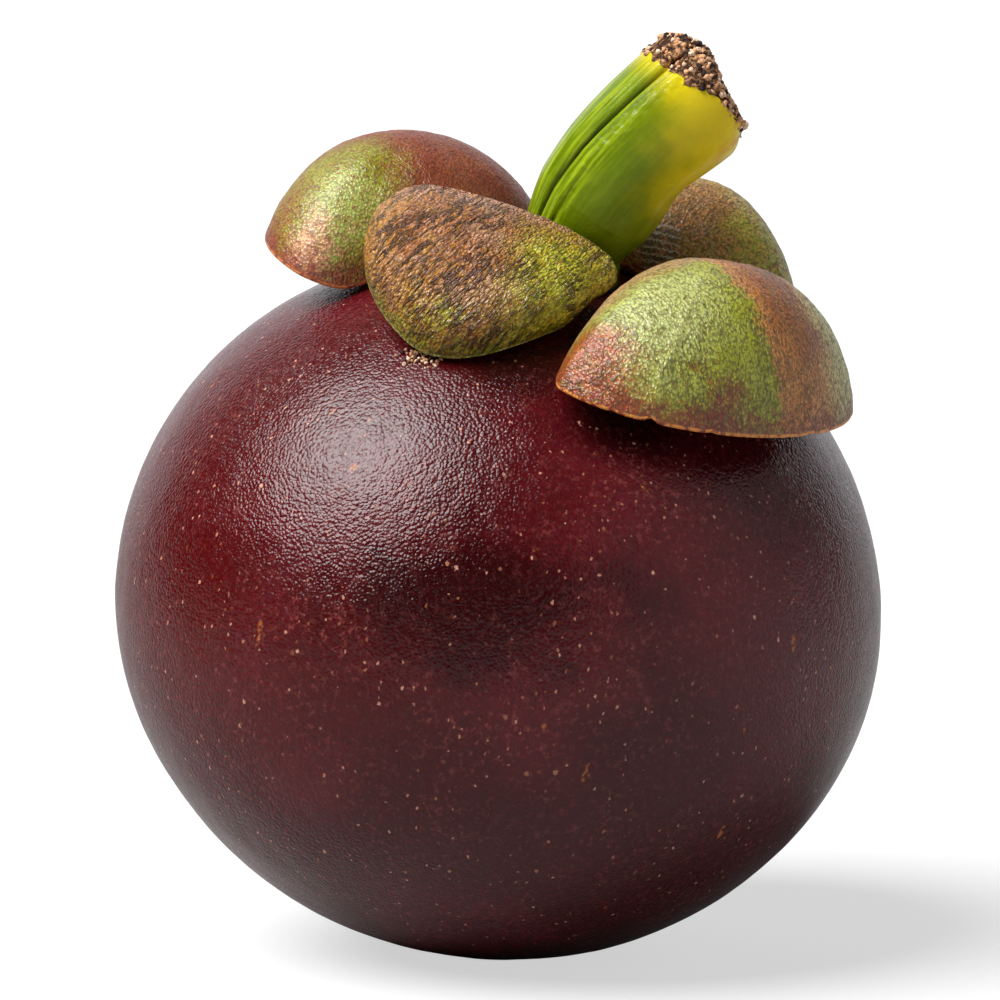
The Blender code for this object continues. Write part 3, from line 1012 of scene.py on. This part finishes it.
@dataclass(frozen=True)
class StalkFinish:
    """Glossy green stalk, olive-brown at its foot, yellow and orange towards its end, corky at the break.

    Sizes are in millimetres. A turn is counted in half-turns from the front, and a share is the share of the
    stalk's length from its foot.
    """

    green: Colour = tint(98, 120, 0)
    lime: Colour = tint(154, 174, 24)
    groove_shade: Colour = tint(34, 48, 2)
    olive: Colour = tint(84, 78, 6)
    shade: Colour = tint(34, 26, 10)
    yellow: Colour = tint(240, 212, 22)
    orange: Colour = tint(206, 112, 40)
    cork: Colour = tint(216, 160, 112)
    cork_dark: Colour = tint(60, 32, 22)
    fibre_shape: Triple = (46.0, 3.0, 0.0)
    fibre_depth: float = 0.06
    patches: Cloud = Cloud(1.8, 0.42, 0.7, 0.18, detail=4.0)
    ripe_side: float = 0.75
    ripe_drift: Cloud = Cloud(3.0, 0.3, 0.7, 0.07, start=-0.07)
    blush: Cloud = Cloud(1.4, 0.42, 0.62)
    crumbs: Cloud = Cloud(0.5, 0.4, 0.6, detail=4.0, ragged=0.7)
    crumb_depth: float = 0.4
    pore_size: float = 0.3
    pore_depth: float = 0.03
    roughness: Pair = (0.27, 0.85)
    specular: float = 0.25

    def build(self) -> bpy.types.Material:
        """Set up the stalk's material.

        Returns:
            The finished material.
        """
        bench = Bench("stalk_skin")
        home, shaft = bench.mark(HOME), bench.mark(SHAFT)
        turn, share, reach = bench.parts(shaft)
        cork, _, _ = bench.parts(bench.mark(CORK))
        fibres = bench.noise(bench.stretch(shaft, self.fibre_shape), 1.0, 3.0, 0.6)
        ridged = bench.span(turn, -0.1, -0.2, 0.16, 0.85)
        streaks = bench.math("MULTIPLY", bench.span(fibres, 0.42, 0.66), ridged)
        colour = bench.mix(streaks, self.green, self.lime)
        colour = bench.mix(bench.cloud(home, self.patches), colour, self.lime)
        # Painted shade: the grooves are darkened by their depth.
        colour = bench.wash(colour, self.groove_shade, reach, 0.95, 0.84)
        colour = bench.wash(colour, self.olive, share, 0.3, 0.04, 0.9)
        ripe = bench.math("ADD", share, bench.math("MULTIPLY", turn, self.ripe_side))
        ripe = bench.math("ADD", ripe, bench.cloud(home, self.ripe_drift))
        colour = bench.wash(colour, self.yellow, ripe, 0.6, 1.15)
        colour = bench.wash(colour, self.yellow, share, 0.86, 1.02, 0.8)
        blush = bench.math("MULTIPLY", bench.span(ripe, 1.0, 1.3, 0.0, 0.7), bench.cloud(home, self.blush))
        colour = bench.mix(blush, colour, self.orange)
        # Painted shade at the very foot of the stalk, where it meets the sepals.
        colour = bench.wash(colour, self.shade, share, 0.06, 0.0)
        crumbs, broken = bench.cloud(home, self.crumbs), bench.span(cork, 0.3, 0.6)
        colour = bench.mix(broken, colour, bench.mix(crumbs, self.cork_dark, self.cork))
        normal = bench.bump(bench.noise(home, self.pore_size), self.pore_depth)
        normal = bench.bump(bench.math("MULTIPLY", fibres, ridged), self.fibre_depth, normal)
        normal = bench.bump(bench.math("MULTIPLY", crumbs, broken), self.crumb_depth, normal)
        return bench.finish(colour, bench.span(broken, 0.0, 1.0, *self.roughness), normal, self.specular)


@dataclass(frozen=True)
class GrainFinish:
    """Dry grains, each of its own shade."""

    name: str
    light: Colour = tint(246, 220, 190)
    middle: Colour = tint(218, 164, 122)
    dark: Colour = tint(44, 22, 16)
    patch_size: float = 0.3
    patch_share: float = 0.6
    pore_size: float = 0.16
    pore_depth: float = 0.05
    roughness: Pair = (0.6, 0.9)
    specular: float = 0.4

    def build(self) -> bpy.types.Material:
        """Set up the grains' material.

        Returns:
            The finished material.
        """
        bench = Bench(self.name)
        home = bench.mark(HOME)
        shade, _, _ = bench.parts(bench.mark(GRAIN))
        colour = bench.mix(bench.span(shade, 0.25, 0.4), self.dark, self.middle)
        colour = bench.wash(colour, self.light, shade, 0.7, 1.0)
        patchy = bench.noise(home, self.patch_size)
        colour = bench.wash(colour, self.dark, patchy, 0.5, 0.7, self.patch_share)
        normal = bench.bump(bench.noise(home, self.pore_size), self.pore_depth)
        return bench.finish(colour, bench.span(patchy, 0.3, 0.7, *self.roughness), normal, self.specular)


@dataclass(frozen=True)
class Grains:
    """Small lumpy grains, strewn where they are told. Sizes are in millimetres.

    Each one is squeezed to its own shares of its size along its axes, and raised by lumps.
    """

    name: str
    count: int
    sizes: Pair
    seed: int
    squeeze: Pair = (0.65, 1.2)
    lump_height: float = 0.5
    lump_grain: Triple = (0.8, 0.8, 0.8)

    def build(self, spots: np.ndarray, slot: Slot) -> None:
        """Make and dress the grains.

        Args:
            spots: Rows of places where a grain may lie.
            slot: The record's slot for the grains, passed on to fit_piece.
        """
        dice = np.random.default_rng(self.seed)
        work = bmesh.new()
        bmesh.ops.create_icosphere(work, subdivisions=2, radius=1.0)
        corners = np.array([vertex.co for vertex in work.verts])
        sides = [tuple(vertex.index for vertex in face.verts) for face in work.faces]
        work.free()
        skin = Skin(self.name)
        for _ in range(self.count):
            spot = spots[dice.integers(len(spots))]
            squeeze = dice.uniform(*self.sizes) * dice.uniform(*self.squeeze, 3)
            spin = np.array(Quaternion(dice.normal(size=4)).normalized().to_matrix())
            lumps = rough(corners, self.lump_grain, float(dice.uniform(0.0, 90.0)))
            radii = (1.0 + self.lump_height * lumps)[:, None]
            shade = np.full((len(corners), 3), dice.random())
            first = skin.add_points((corners * radii * squeeze) @ spin + spot, {GRAIN: shade})
            skin.faces.extend(tuple(first + index for index in side) for side in sides)
        fit_piece(skin.build(None), GrainFinish(f"{self.name}_dry").build(), slot)


@dataclass(frozen=True)
class Stalk:
    """The stalk: a foot that follows the rind, a leaning grooved shaft and a heaped corky end.

    Lengths are in millimetres, angles in degrees. Each groove has its turn from the front, its width, and its
    depth as a share of the radius. The waist's spread and level are shares of the stalk's length. The cork's
    depths are such shares too, at the edge, over the left half and at the right corner.
    """

    foot_gap: float = 0.35
    bend: Triple = (0.95, 0.0, 6.3)
    end: Triple = (7.95, -0.35, 15.35)
    radii: tuple[float, ...] = (4.75, 4.05, 4.85, 5.15, 5.2, 5.2)
    groove_turn: float = 9.0
    grooves: tuple[Triple, ...] = (
        (-60.0, 2.4, 0.1), (-60.0, 10.0, 0.06), (-72.0, 2.5, 0.025), (-49.0, 2.2, 0.02), (125.0, 12.0, 0.12),
        (-135.0, 10.0, 0.09))
    crack: Triple = (-36.0, 3.0, 0.05)
    crack_end: float = 0.62
    crack_fade: float = 0.3
    waist_turn: float = 78.0
    waist_width: float = 34.0
    waist_level: float = 0.7
    waist_spread: float = 0.16
    waist_depth: float = 0.14
    face_tilt: float = 0.38
    tilt_start: float = 0.75
    shoulder: float = 1.3
    shoulder_start: float = 0.88
    shoulder_rise: float = 0.8
    cork_depths: Triple = (0.008, 0.034, 0.03)
    cork_left: Pair = (4.0, 30.0)
    cork_corner: Pair = (80.0, 14.0)
    cork_edge: float = 0.008
    cork_height: float = 1.3
    cork_slope: float = 0.18
    heap: float = 1.3
    heap_place: float = -3.0
    heap_width: float = 2.2
    segments: int = 300
    rows: int = 200
    cork_rings: int = 40
    ridge: Pair = (42.0, 10.0)
    ridge_start: Pair = (0.08, 0.15)
    bead_depth: float = 0.05
    wave_depth: float = 0.06
    crumb_depth: float = 0.3
    grain_limit: float = 0.6
    grain_thinning: float = 0.03
    grains: Grains = Grains("stem_cork_grains", 900, (0.08, 0.27), 7)

    def frame_at(self, share: float) -> tuple[np.ndarray, np.ndarray, np.ndarray, np.ndarray]:
        """Work out the centre line at one place.

        Args:
            share: The place, from 0 at the foot to 1 at the break.

        Returns:
            The centre, and the rightward, forward and lengthwise directions there.
        """
        foot = Vector((0.0, 0.0, FRUIT.half_height + self.foot_gap))
        bend, end = foot + Vector(self.bend), foot + Vector(self.end)
        centre = foot.lerp(bend, share).lerp(bend.lerp(end, share), share)
        along = ((bend - foot).lerp(end - bend, share)).normalized()
        forward = Vector((0.0, -1.0, 0.0))
        rightward = along.cross(forward).normalized()
        return tuple(np.array(part) for part in (centre, rightward, forward, forward.cross(rightward)))

    def onset(self, share: float, start: float) -> float:
        """Return a value that eases in from a start at 0 to 1 at the break."""
        return float(smooth_step((share - start) / (1.0 - start)))

    def ring(self, share: float) -> tuple[np.ndarray, np.ndarray]:
        """Return one cross-section of the shaft.

        Args:
            share: The section's place, from 0 at the foot to 1 at the break.

        Returns:
            Its points, and its marks: the turn in half-turns, the share, and the reach over the radius.
        """
        centre, rightward, forward, along = self.frame_at(share)
        radius = float(np.interp(share * (len(self.radii) - 1), range(len(self.radii)), self.radii))
        turns = np.linspace(-math.pi, math.pi, self.segments, endpoint=False)
        reach = np.full(self.segments, radius)
        place, width, depth = self.crack
        fading = (place, width, depth * float(smooth_step((self.crack_end - share) / self.crack_fade)))
        for place, width, depth in (*self.grooves, fading):
            away = (turns - math.radians(place + self.groove_turn * share)) / math.radians(width)
            reach = reach - radius * depth * np.exp(-away * away)
        grooved = reach / radius
        away = (turns - math.radians(self.waist_turn)) / math.radians(self.waist_width)
        level = (share - self.waist_level) / self.waist_spread
        reach = reach - radius * self.waist_depth * np.exp(-away * away - level ** 2)
        right = np.maximum(np.sin(turns), 0.0) ** 2
        reach = reach - self.shoulder * right * self.onset(share, self.shoulder_start) ** 2
        ahead = reach * np.cos(turns)
        shift = (ahead * self.face_tilt + right * self.shoulder_rise) * self.onset(share, self.tilt_start)
        points = centre + np.outer(reach * np.sin(turns), rightward) + np.outer(ahead, forward)
        points = points + np.outer(shift, along)
        return points, np.column_stack((turns / math.pi, np.full(self.segments, share), grooved))

    def cap(self, rim: np.ndarray, bend: float) -> np.ndarray:
        """Return a ring of the broken end.

        Args:
            rim: The shaft's last ring.
            bend: The ring's place, from 0 at the rim to a right angle at the middle.

        Returns:
            The ring's points.
        """
        centre, rightward, _, along = self.frame_at(1.0)
        offset = (rim - centre) * math.cos(bend)
        across = offset @ rightward
        heap = self.heap * np.exp(-(((across - self.heap_place) / self.heap_width) ** 2))
        rise = (self.cork_height + heap) * math.sin(bend) - self.cork_slope * across
        return centre + offset + np.outer(rise, along)

    def corkiness(self, points: np.ndarray, marks: np.ndarray) -> np.ndarray:
        """Return how corky the shaft's skin is near the break.

        Args:
            points: A ring of the shaft.
            marks: Its turns, in half-turns, and shares.

        Returns:
            A share for each point: a thin edge, deeper over the left half and at the right corner.
        """
        turns, shares = 180.0 * marks[:, 0], marks[:, 1]
        edge, left, corner = self.cork_depths
        side, fade = self.cork_left
        place, width = self.cork_corner
        depth = edge + left * smooth_step((side - turns) / fade)
        depth = depth + corner * np.exp(-(((turns - place) / width) ** 2))
        ragged = 1.0 + 0.5 * rough(points, (0.6, 0.6, 0.6), 6.0)
        return smooth_step((shares - 1.0 + depth * ragged) / self.cork_edge)

    def relief(self, points: np.ndarray, marks: Marks) -> np.ndarray:
        """Work out the stalk's lumps: beads on the ridge beside the deep groove, and crumbs on the cork.

        Args:
            points: The stalk's points.
            marks: Their places along the shaft, and how corky they are.

        Returns:
            A height for each point.
        """
        turn, share, _ = marks[SHAFT].T
        place, width = self.ridge
        start, fade = self.ridge_start
        degrees = turn * 180.0 - self.groove_turn * share
        ridge = np.exp(-(((degrees + place) / width) ** 2)) * smooth_step((share - start) / fade)
        beads = rough(points, (0.34, 0.34, 0.42), 3.0)
        waves = rough(points, (3.0, 3.0, 6.0), 8.0)
        crumbs = rough(points, (0.8, 0.8, 0.8), 5.0) + 0.6 * rough(points, (0.4, 0.4, 0.4), 9.0)
        broken = marks[CORK][:, 0]
        skin = self.bead_depth * beads * ridge + self.wave_depth * waves * (1.0 - broken)
        return skin + self.crumb_depth * crumbs * broken

    def build(self) -> None:
        """Make and dress the stalk."""
        rings, marks = [], []
        for row in range(self.rows + 1):
            points, values = self.ring(row / self.rows)
            rings.append(points)
            marks.append(values)
        corks = [np.outer(self.corkiness(*ring), (1.0, 0.0, 0.0)) for ring in zip(rings, marks)]
        seat = FRUIT.rind_height(np.hypot(rings[0][:, 0], rings[0][:, 1])) + self.foot_gap
        rings[0] = lift(rings[0], seat)
        foot = on_axis(FRUIT.half_height + self.foot_gap)
        rim = rings[-1]
        for ring in range(1, self.cork_rings + 1):
            points = self.cap(rim, 0.5 * math.pi * ring / self.cork_rings)
            kept = len(points) if ring < self.cork_rings else 1
            rings.append(points[:kept])
            marks.append(marks[self.rows][:kept])
            corks.append(np.ones((kept, 3)))
        skin = Skin("stem_skin")
        skin.add_rings([foot] + rings, {SHAFT: [marks[0][:1]] + marks, CORK: [corks[0][:1]] + corks})
        fit_piece(skin.build(self.relief), StalkFinish().build(), Slot.STEM, "stem")
        spots = []
        for ring, (points, corky) in enumerate(zip(rings, corks)):
            bend = 0.5 * math.pi * max(ring - self.rows, 0) / self.cork_rings
            step = round(1.0 / max(math.cos(bend), self.grain_thinning))
            spots.append(points[corky[:, 0] > self.grain_limit][::step])
        self.grains.build(np.concatenate(spots), Slot.STEM)


@dataclass(frozen=True)
class StigmaFinish:
    """Dry dark bark with pale crests."""

    dark: Colour = tint(58, 36, 26)
    crest: Colour = tint(128, 92, 62)
    size: float = 0.7
    depth: float = 0.25
    roughness: Pair = (0.9, 0.7)
    specular: float = 0.3

    def build(self) -> bpy.types.Material:
        """Set up the stigma's material.

        Returns:
            The finished material.
        """
        bench = Bench("stigma_bark")
        home = bench.mark(HOME)
        bark = bench.noise(home, self.size, 5.0, 0.65)
        colour = bench.mix(bench.span(bark, 0.42, 0.68), self.dark, self.crest)
        roughness = bench.span(bark, 0.3, 0.7, *self.roughness)
        return bench.finish(colour, roughness, bench.bump(bark, self.depth), self.specular)


@dataclass(frozen=True)
class StigmaRosette:
    """The woody stigma rosette in the rind's pit."""

    radius: float = 4.2
    lobes: int = 6
    notch: float = 0.34
    back: float = 0.85
    crown: float = 0.35
    rib_height: float = 0.12
    bark_depth: float = 0.07
    segments: int = 192
    rings: int = 24

    def reach(self, turns: np.ndarray) -> np.ndarray:
        """Return the rosette's radius at its azimuths: broad lobes with narrow notches between them."""
        return self.radius * (1.0 - self.notch * np.abs(np.cos(0.5 * self.lobes * turns)) ** 6)

    def relief(self, points: np.ndarray, marks: Marks) -> np.ndarray:
        """Work out each lobe's midrib and bark.

        Args:
            points: The rosette's points.
            marks: Its marks, which it has no use for.

        Returns:
            A height for each point.
        """
        turns = np.arctan2(points[:, 0], -points[:, 1])
        radius = np.hypot(points[:, 0], points[:, 1])
        rib = np.abs(np.sin(0.5 * self.lobes * turns)) ** 4 * smooth_step(radius / 1.5)
        return self.rib_height * rib + self.bark_depth * rough(points, (0.6, 0.6, 0.6), 2.0)

    def build(self) -> None:
        """Make and dress the rosette."""
        turns = np.linspace(0.0, 2.0 * math.pi, self.segments, endpoint=False)
        upper, lower = [], []
        for ring in range(1, self.rings + 1):
            share = ring / self.rings
            reach = self.reach(turns) * share
            plan = around(turns, reach)
            seat = -FRUIT.rind_height(reach)
            upper.append(lift(plan, seat + self.back))
            lower.append(lift(plan, seat - self.crown * (1.0 - share * share)))
        top, bottom = on_axis(self.back - FRUIT.half_height), on_axis(-self.crown - FRUIT.half_height)
        skin = Skin("stigma_rosette_skin")
        skin.add_rings([top] + upper + lower[::-1] + [bottom], {})
        fit_piece(skin.build(self.relief), StigmaFinish().build(), Slot.STIGMA, "stigma_rosette")


GREEN = tint(162, 164, 18)
PALE_GREEN = tint(184, 194, 98)
BROWN = tint(156, 92, 44)
TAN = tint(214, 168, 130)
OCHRE = tint(190, 132, 20)
RUST = tint(138, 38, 4)
MAROON = tint(134, 56, 26)
UMBER = tint(56, 24, 6)
RUSSET = tint(208, 134, 66)
# Painted highlight: a pale pink band along the front sepals' upper edges, near their feet.
GRAZING_HIGHLIGHT = tint(196, 144, 116)

FRONT_LEFT = SepalFinish(
    "sepal_tan", base=BROWN, fleck=TAN, spot=OCHRE, crease=UMBER, lip=tint(172, 160, 90),
    margin=tint(140, 142, 14),
    patches=(Patch(OCHRE, (-9.0, 6.0), (3.6, 7.0), 0.6),
             Patch(OCHRE, (1.0, 8.5), (7.0, 2.2), 0.35),
             Patch(tint(196, 196, 40), (9.2, 0.6), (5.4, 8.0), 0.95, 10.0),
             Patch(tint(164, 170, 14), (3.4, 9.8), (8.0, 1.8), 0.85),
             Patch(RUST, (3.4, -3.4), (4.5, 2.0), 0.45),
             Patch(GRAZING_HIGHLIGHT, (-1.6, -4.8), (12.0, 4.4), 0.75, 20.0, 0.22)),
    fleck_and_highlight_share=0.85, crease_and_shade_share=0.7, margin_start=0.84, ragged=1.8, grain=(0.21, 0.38),
    grain_turn=-28.0, grain_depth=0.2, gloss=0.22, specular=0.65, wrinkle_size=(0.75, 3.4),
    wrinkle_share=0.95, wrinkle_depth=0.3, lump_depth=0.12)
FRONT_RIGHT = SepalFinish(
    "sepal_green", base=GREEN, fleck=PALE_GREEN, spot=tint(124, 98, 16), crease=tint(62, 50, 6),
    lip=tint(236, 150, 62), margin=RUST,
    # Painted highlight: a pale grey-green patch where the gloss catches the light.
    patches=(Patch(tint(194, 202, 130), (-7.2, 2.4), (4.8, 3.6), 0.65),
             Patch(tint(214, 134, 68), (5.4, 4.0), (5.8, 12.0), 0.95, 0.0, 0.1),
             Patch(tint(150, 72, 28), (3.8, 3.0), (3.0, 4.6), 0.85, 0.0, 0.3),
             # Painted highlight: a pale grey-beige patch at the right edge.
             Patch(tint(224, 220, 144), (11.8, 5.4), (4.8, 6.4), 0.95),
             Patch(GRAZING_HIGHLIGHT, (1.0, -6.2), (18.0, 5.0), 0.75, 0.0, 0.22),
             Patch(tint(168, 66, 12), (-13.8, 2.0), (3.2, 5.4), 0.95),
             Patch(RUST, (-8.8, 9.6), (5.2, 2.2), 0.95, 0.0, 0.3)),
    fleck_and_highlight_share=0.7, margin_start=0.86, ragged=1.0, grain=(0.2, 0.26), crease_and_shade_share=0.65, specular=0.8,
    wrinkle_size=(0.5, 2.0), wrinkle_share=0.5, wrinkle_depth=0.1)
BACK_LEFT = SepalFinish(
    "sepal_maroon", base=MAROON, fleck=tint(176, 108, 62), spot=tint(146, 70, 30), crease=tint(60, 22, 10),
    lip=tint(216, 126, 62), margin=RUST,
    patches=(Patch(tint(146, 148, 14), (10.2, 1.0), (6.4, 5.4), 0.95, 0.0, 0.35),
             # Painted highlight: a pale green glossy spot.
             Patch(PALE_GREEN, (9.8, -0.8), (2.6, 2.2), 0.7),
             Patch(tint(240, 166, 130), (12.8, -1.4), (2.0, 3.0), 0.75),
             Patch(RUST, (11.5, 5.4), (2.6, 3.0), 0.6)),
    margin_start=0.84, grain=(0.2, 0.24), crease_and_shade_share=0.55, grain_depth=0.06, specular=0.8)
BACK_RIGHT = SepalFinish(
    "sepal_olive", base=tint(158, 134, 44), fleck=tint(200, 176, 104), spot=RUSSET, crease=UMBER,
    lip=tint(206, 130, 66), margin=RUST,
    patches=(Patch(tint(134, 82, 40), (-2.0, -3.0), (5.0, 3.0), 0.7),
             Patch(GREEN, (-7.5, 1.0), (3.0, 6.0), 0.75),
             # Painted shade: a dark patch over the folds near the foot.
             Patch(tint(50, 42, 32), (-1.6, -7.0), (2.4, 1.7), 0.85)),
    fleck_and_highlight_share=0.7, crease_and_shade_share=0.65, grain=(0.21, 0.26), grain_depth=0.1, wrinkle_share=0.4,
    # Painted highlights in pale stripes over the folds near the foot.
    lit_pleats=Patch(tint(190, 180, 160), (-1.7, -7.0), (1.9, 1.4), 0.7))

SEPALS = (
    SepalCup("sepal_front_left", FRONT_LEFT, azimuth=-39, distance=9.4, yaw=16, left=9.3, right=8.6, tip=8.2,
             foot=5.4, foot_shift=5.8, foot_fullness=2.3, rim_height=-3.3, droop=8, roll=-24.5,
             crown_height=6.3, crown_shift=(-5.0, -1.0), curl=114, foot_lift=1.2, sharpness=0.6, folds=0.12,
             fold_turn=20.0),
    SepalCup("sepal_front_right", FRONT_RIGHT, azimuth=52, distance=14.1, yaw=-7, left=14.2, right=15.3,
             tip=9.7, foot=7.4, foot_shift=0.6, foot_fullness=1.4, rim_height=-4.4, droop=2.5, roll=-5.5,
             crown_height=5.4, crown_shift=(0.0, 0.2), curl=76,
             nicks=((311.0, 2.0, 0.35), (296.0, 1.5, 0.1), (333.0, 1.6, 0.12), (14.0, 2.2, 0.12),
                    (48.0, 2.0, 0.1))),
    SepalCup("sepal_back_left", BACK_LEFT, azimuth=-122, distance=14.2, yaw=-4.5, left=12.5, right=12.9,
             tip=9.4, foot=8.9, foot_shift=-3.5, foot_fullness=1.6, rim_height=-5.0, droop=-8.5, roll=9.5,
             crown_height=6.6, crown_shift=(0.5, 0.6), curl=83),
    SepalCup("sepal_back_right", BACK_RIGHT, azimuth=137, distance=14.0, yaw=12, left=10.9, right=10.7,
             tip=9.0, foot=8.5, foot_shift=1.0, foot_fullness=1.9, rim_height=-4.0, droop=25, roll=4.5,
             crown_height=6.1, crown_shift=(-0.5, 0.3), curl=81),
)


@dataclass(frozen=True)
class Studio:
    """A pale floor, soft lights and the camera. Lengths are in metres, angles in degrees.

    The sky glows from behind: from sky_glow's first strength to its second, as a direction turns towards
    sky_direction by the cosines of sky_turn.
    """

    floor_radius: float = 40.0
    lens: float = 180.0
    distance: float = 0.392157
    elevation: float = 6.0
    aim: Triple = (-0.00074, 0.00202, 0.03523)
    key_direction: Triple = (-0.547, -0.269, 0.793)
    key_strength: float = 5.6
    key_spread: float = 46.0
    card_place: Triple = (0.564, -0.205, 0.08)
    card_size: float = 1.05
    card_power: float = 1.5
    sky_direction: Triple = (0.0, 1.0, 0.1)
    sky_turn: Pair = (0.55, 0.85)
    sky_glow: Pair = (0.02, 0.85)
    sky_tint: Triple = (0.95, 0.96, 1.0)
    floor_corners: int = 64
    floor_shade: float = 0.36
    floor_glow: float = 0.6
    floor_roughness: float = 0.9

    def add_floor(self) -> None:
        """Lay the floor."""
        mesh = bpy.data.meshes.new("floor")
        turns = np.linspace(0.0, 2.0 * math.pi, self.floor_corners, endpoint=False)
        rim = self.floor_radius * np.column_stack((np.cos(turns), np.sin(turns), 0.0 * turns))
        mesh.from_pydata(rim.tolist(), [], [tuple(range(len(rim)))])
        floor = bpy.data.objects.new("floor", mesh)
        bpy.context.scene.collection.objects.link(floor)
        bench = Bench("floor_paper")
        seen = bench.add("ShaderNodeLightPath", {}, "Is Camera Ray")
        glow = bench.math("MULTIPLY", seen, self.floor_glow)
        shade = (self.floor_shade,) * 3
        inputs = {"Base Color": shade, "Roughness": self.floor_roughness, "Emission Color": (1.0, 1.0, 1.0),
                  "Emission Strength": glow, "Specular IOR Level": 0.0}
        bench.add_output(bench.add("ShaderNodeBsdfPrincipled", inputs))
        mesh.materials.append(bench.material)

    def add_sky(self) -> None:
        """Surround the scene with soft light that looks white to the camera."""
        world = bpy.data.worlds.new("studio_air")
        bpy.context.scene.world = world
        world.use_nodes = True
        tree = world.node_tree
        tree.nodes.clear()
        place = tree.nodes.new("ShaderNodeTexCoord")
        facing = tree.nodes.new("ShaderNodeVectorMath")
        facing.operation = "DOT_PRODUCT"
        facing.inputs[1].default_value = self.sky_direction
        glow = tree.nodes.new("ShaderNodeMapRange")
        glow.interpolation_type = "SMOOTHSTEP"
        for name, value in zip(("From Min", "From Max", "To Min", "To Max"), self.sky_turn + self.sky_glow):
            glow.inputs[name].default_value = value
        tree.links.new(place.outputs["Generated"], facing.inputs[0])
        tree.links.new(facing.outputs["Value"], glow.inputs["Value"])
        path = tree.nodes.new("ShaderNodeLightPath")
        air, seen = tree.nodes.new("ShaderNodeBackground"), tree.nodes.new("ShaderNodeBackground")
        air.inputs["Color"].default_value = (*self.sky_tint, 1.0)
        tree.links.new(glow.outputs[0], air.inputs["Strength"])
        seen.inputs["Color"].default_value = (1.0, 1.0, 1.0, 1.0)
        mixed = tree.nodes.new("ShaderNodeMixShader")
        output = tree.nodes.new("ShaderNodeOutputWorld")
        tree.links.new(path.outputs["Is Camera Ray"], mixed.inputs[0])
        tree.links.new(air.outputs[0], mixed.inputs[1])
        tree.links.new(seen.outputs[0], mixed.inputs[2])
        tree.links.new(mixed.outputs[0], output.inputs["Surface"])

    def add_light(self, name: str, kind: str, place: Vector, aim: Vector, **settings: float) -> None:
        """Set up a light.

        Args:
            name: The light's name.
            kind: Blender's name for its type.
            place: Where it stands.
            aim: The point that it faces.
            settings: The light's own properties.
        """
        light = bpy.data.lights.new(name, kind)
        for key, value in settings.items():
            setattr(light, key, value)
        lamp = bpy.data.objects.new(name, light)
        lamp.location = place
        lamp.rotation_euler = (aim - place).to_track_quat("-Z", "Y").to_euler()
        bpy.context.scene.collection.objects.link(lamp)

    def add_camera(self) -> None:
        """Set up the camera."""
        turn = math.radians(self.elevation)
        back = Vector((0.0, -math.cos(turn), math.sin(turn)))
        data = bpy.data.cameras.new("camera")
        data.lens = self.lens
        data.sensor_width = 36.0
        camera = bpy.data.objects.new("camera", data)
        camera.location = Vector(self.aim) + back * self.distance
        camera.rotation_euler = (-back).to_track_quat("-Z", "Y").to_euler()
        bpy.context.scene.collection.objects.link(camera)
        bpy.context.scene.camera = camera

    def build(self) -> None:
        """Set up the floor, the lights and the camera."""
        self.add_floor()
        self.add_sky()
        middle = FRUIT.middle()
        self.add_light("key", "SUN", middle + Vector(self.key_direction), middle, energy=self.key_strength,
                       angle=math.radians(self.key_spread))
        self.add_light("card", "AREA", Vector(self.card_place), middle, energy=self.card_power,
                       size=self.card_size)
        self.add_camera()
        bpy.context.scene.view_settings.view_transform = "Standard"
        log.info("studio: floor, key, card and camera")


@dataclass(frozen=True)
class SapCrumbs:
    """Dried crumbs of sap caught on the rind below the front left sepal. Lengths in millimetres."""

    azimuth: float = -35.0
    azimuth_spread: float = 3.0
    reach: float = 16.2
    reach_spread: float = 0.35
    rise: float = 0.05
    spots: int = 400
    grains: Grains = Grains("sap_crumbs", 90, (0.05, 0.18), 5)

    def build(self) -> None:
        """Strew and dress the crumbs."""
        dice = np.random.default_rng(self.grains.seed)
        turns = np.radians(self.azimuth + self.azimuth_spread * dice.normal(size=self.spots))
        reaches = self.reach + self.reach_spread * dice.normal(size=self.spots)
        spots = lift(around(turns, reaches), FRUIT.rind_height(reaches) + self.rise)
        self.grains.build(spots, Slot.RIND)


def main() -> None:
    """Build every piece in order."""
    logging.basicConfig(level=logging.INFO, format="%(name)s: %(message)s")
    Studio().build()
    Rind().build()
    for sepal in SEPALS:
        sepal.build()
    Stalk().build()
    StigmaRosette().build()
    SapCrumbs().build()


if __name__ == "__main__":
    main()
